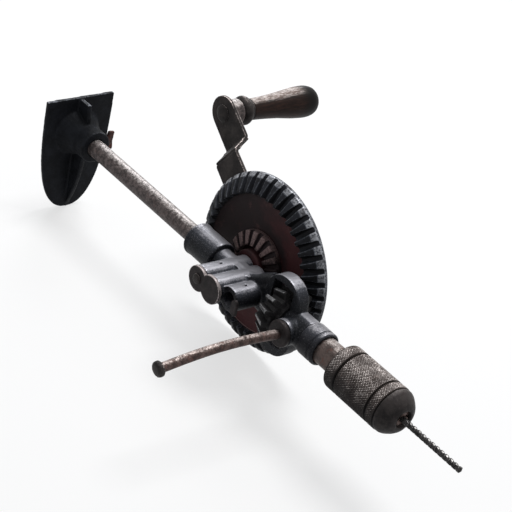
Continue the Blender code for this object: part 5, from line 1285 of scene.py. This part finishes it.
def raise_mouth_floor(mesh):
    """Brings the floor of the chuck's mouth forward, so that light reaches it."""
    place = points_of(mesh)
    radius = np.hypot(place[:, 1], place[:, 2]) / MM
    below = NOSE_END - place[:, 0] / MM
    deep = 3 * MOUTH_DEPTH
    moved = np.interp(below, (MOUTH_DEPTH, deep), (MOUTH_DEPTH * MOUTH_SHARE, deep))
    moved = np.where(below < MOUTH_DEPTH, below * MOUTH_SHARE, moved)
    inside = (radius < MOUTH_LIP) & (below < deep) & ((below > 0.5) | (radius < MOUTH_LIP - 1.0))
    place[inside, 0] = (NOSE_END - moved[inside]) * MM
    move_points(mesh, place)


def make_chuck_body():
    body = remeshed(copy_of("chuck_body", "chuck_body_turned"), 0.42, 4, (0.05, 2.5, 3.3))
    raise_mouth_floor(body.data)
    dress(body, "nose", "spindle", "chuck_body")
    coat(body.data, "nose", "shank", "rusty")
    for polygon in body.data.polygons:
        x, y, z = polygon.center / MM
        if x < RING_START:
            polygon.material_index = 1
        elif math.hypot(y, z) < MOUTH_RADIUS:
            polygon.material_index = 2


# Drill bit
BIT_BACK, BIT_TIP = span("twist_bit", 0)
BIT_RADIUS = radius_of("twist_bit", 1)
BIT_POINT = BIT_RADIUS / math.tan(math.radians(59))
FLUTE_START = NOSE_END + BIT_RADIUS
FLUTE_PITCH = 7.6
FLUTE_WEB = 0.70
BIT_AROUND = 28
BIT_STATIONS = 150


def flute(turn, depth, shrink=1.0):
    """The (radius, angle, edge) points of the bit's section, with hollows of a depth from 0 to 1."""
    section = []
    for j in range(BIT_AROUND):
        angle = 2 * math.pi * j / BIT_AROUND
        hollow = max(0.0, math.cos(2 * angle)) ** 0.55
        local = BIT_RADIUS * (1 - (1 - FLUTE_WEB) * hollow * depth)
        land = 1.0 if abs(math.cos(2 * angle)) < 0.18 else 0.25 if hollow == 0 else -0.3
        section.append((local * shrink, angle + turn, land * depth))
    return section


def make_bit():
    """A twist bit with two hollow flutes and narrow lands."""
    shank_places = (BIT_BACK, BIT_BACK + 0.3, BIT_BACK + 6, FLUTE_START)
    rows = [(x, flute(0.0, 0.0, 0.9 if x == BIT_BACK else 1.0)) for x in shank_places]
    end = BIT_TIP - BIT_POINT
    for i in range(1, BIT_STATIONS + 1):
        x = FLUTE_START + (end - FLUTE_START) * i / BIT_STATIONS
        turn = 2 * math.pi * (x - FLUTE_START) / FLUTE_PITCH
        rows.append((x, flute(turn, min(1.0, i / 8))))
    rows += [(end + BIT_POINT * share, flute(turn, 1.0, 1 - share)) for share in (0.45, 0.88)]
    points = [(x, *point) for x, section in rows for point in section]
    vertices = [(x * MM, r * math.cos(angle) * MM, r * math.sin(angle) * MM) for x, r, angle, _ in points]
    edges = [edge for *_, edge in points]
    faces = capped_faces(len(rows), BIT_AROUND)
    bit = new_object("twist_bit_ground", vertices, faces, {"edge": edges}, smooth_angle=55)
    dress(bit, "bit", "bit", "twist_bit")


def coat_kept_nodes():
    """Gives the CAD nodes that stay their finishes."""
    balls = [f"bearing_ball_{i}" for i in range(1, 9)]
    for node in ["thrust_race", "jaw_nut", "gear_axle", "spindle", "pinion_pin"] + balls:
        coat(NODES[node].data, "bright")
    for node in ["jaw_1", "jaw_2", "jaw_3"]:
        coat(NODES[node].data, "rusty")


# Surroundings. Distances here are metres
FLOOR_REACH = 40.0
FLOOR_GAP = 0.0004
FLOOR_COLOUR = (0.90, 0.90, 0.90, 1)
FLOOR_SHINE = 0.68
AMBIENT = 0.42
KEY_POWER = 11.0
RIM_POWER = 4.0
LAMP_TARGET = Vector((0.2, 0.0, 0.0))

# The photograph's view: focal length over the picture's width, place, and right, up and back directions
SENSOR_WIDTH = 36.0
FOCAL_SHARE = 1531.0 / 512.0
CAMERA_PLACE = (0.78209, -0.58689, 0.50293)
CAMERA_AXES = ((0.60353, 0.76811, 0.21390), (-0.52024, 0.17605, 0.83568), (0.60424, -0.61564, 0.50585))


def background_share(tree):
    """1 for the rays that see the background: from the camera, and by way of metal or glass."""
    path = tree.nodes.new("ShaderNodeLightPath")
    share = path.outputs["Is Camera Ray"]
    for name in ("Is Glossy Ray", "Is Transmission Ray"):
        both = tree.nodes.new("ShaderNodeMath")
        both.operation = "MAXIMUM"
        tree.links.new(share, both.inputs[0])
        tree.links.new(path.outputs[name], both.inputs[1])
        share = both.outputs[0]
    return share


def make_floor():
    """A pale floor just under the model, whose shine is for the rays that see the background."""
    height = min(CAD_BOX[0][2], CAD_BOX[1][2]) - FLOOR_GAP
    corners = [(x * FLOOR_REACH, y * FLOOR_REACH, height) for x, y in ((-1, -1), (1, -1), (1, 1), (-1, 1))]
    mesh = bpy.data.meshes.new("floor")
    mesh.from_pydata(corners, [], [(0, 1, 2, 3)])
    floor = linked("floor", mesh)
    material = bpy.data.materials.new("pale_floor")
    material.use_nodes = True
    nodes = Nodes(material.node_tree)
    shader = nodes.tree.nodes["Principled BSDF"]
    for key, value in (("Base Color", FLOOR_COLOUR), ("Roughness", 0.9), ("Specular IOR Level", 0.1)):
        nodes.feed(shader.inputs[key], value)
    seen = nodes.math("MULTIPLY", background_share(nodes.tree), FLOOR_SHINE)
    shine = nodes.node("ShaderNodeEmission", {"Strength": 1.0}).outputs["Emission"]
    mix = nodes.node("ShaderNodeMixShader", {"Fac": seen, 1: shader.outputs["BSDF"], 2: shine})
    nodes.feed(nodes.tree.nodes["Material Output"].inputs["Surface"], mix.outputs["Shader"])
    mesh.materials.append(material)


def make_world():
    """Soft light, stronger from above, with plain white as the background that is seen."""
    world = bpy.data.worlds.new("studio")
    bpy.context.scene.world = world
    world.use_nodes = True
    nodes = Nodes(world.node_tree)
    direction = nodes.node("ShaderNodeTexCoord").outputs["Generated"]
    height = nodes.node("ShaderNodeSeparateXYZ", {0: direction}).outputs["Z"]
    sky = nodes.ramp(nodes.total((height, 0.5), 0.5), ((0.35, (0.25, 0.25, 0.27)), (0.95, (0.94, 0.96, 1.0))))
    soft = nodes.tree.nodes["Background"]
    nodes.feed(soft.inputs["Strength"], AMBIENT)
    nodes.feed(soft.inputs["Color"], sky)
    white = nodes.node("ShaderNodeBackground", {"Color": (1, 1, 1, 1), "Strength": 1.0})
    mix = nodes.node(
        "ShaderNodeMixShader", {"Fac": background_share(nodes.tree), 1: soft.outputs[0], 2: white.outputs[0]})
    nodes.feed(nodes.tree.nodes["World Output"].inputs["Surface"], mix.outputs[0])


def area_lamp(name, place, size, power, colour=(1, 1, 1)):
    lamp = bpy.data.lights.new(name, "AREA")
    lamp.shape = "DISK"
    lamp.size = size
    lamp.energy = power
    lamp.color = colour
    thing = linked(name, lamp)
    thing.location = place
    thing.rotation_euler = (LAMP_TARGET - Vector(place)).to_track_quat("-Z", "Y").to_euler()


def make_lights():
    area_lamp("key_lamp", (0.05, 0.35, 1.15), 0.6, KEY_POWER)
    area_lamp("rim_lamp", (-0.7, 0.6, 0.6), 0.5, RIM_POWER, (0.95, 0.97, 1.0))


def make_camera():
    data = bpy.data.cameras.new("camera")
    data.sensor_width = SENSOR_WIDTH
    data.lens = FOCAL_SHARE * SENSOR_WIDTH
    camera = linked("camera", data)
    camera.matrix_world = Matrix.Translation(CAMERA_PLACE) @ Matrix(CAMERA_AXES).transposed().to_4x4()
    bpy.context.scene.camera = camera


def build():
    make_plate()
    make_tube()
    make_casting()
    make_cup()
    make_side_handle()
    make_latch()
    make_crank()
    make_ferrule()
    make_grip()
    make_pinion()
    make_rear_ring()
    make_sleeve()
    make_chuck_body()
    make_bit()
    coat_kept_nodes()
    make_floor()
    make_world()
    make_lights()
    make_camera()


bpy.context.scene.view_settings.view_transform = "Standard"
build()
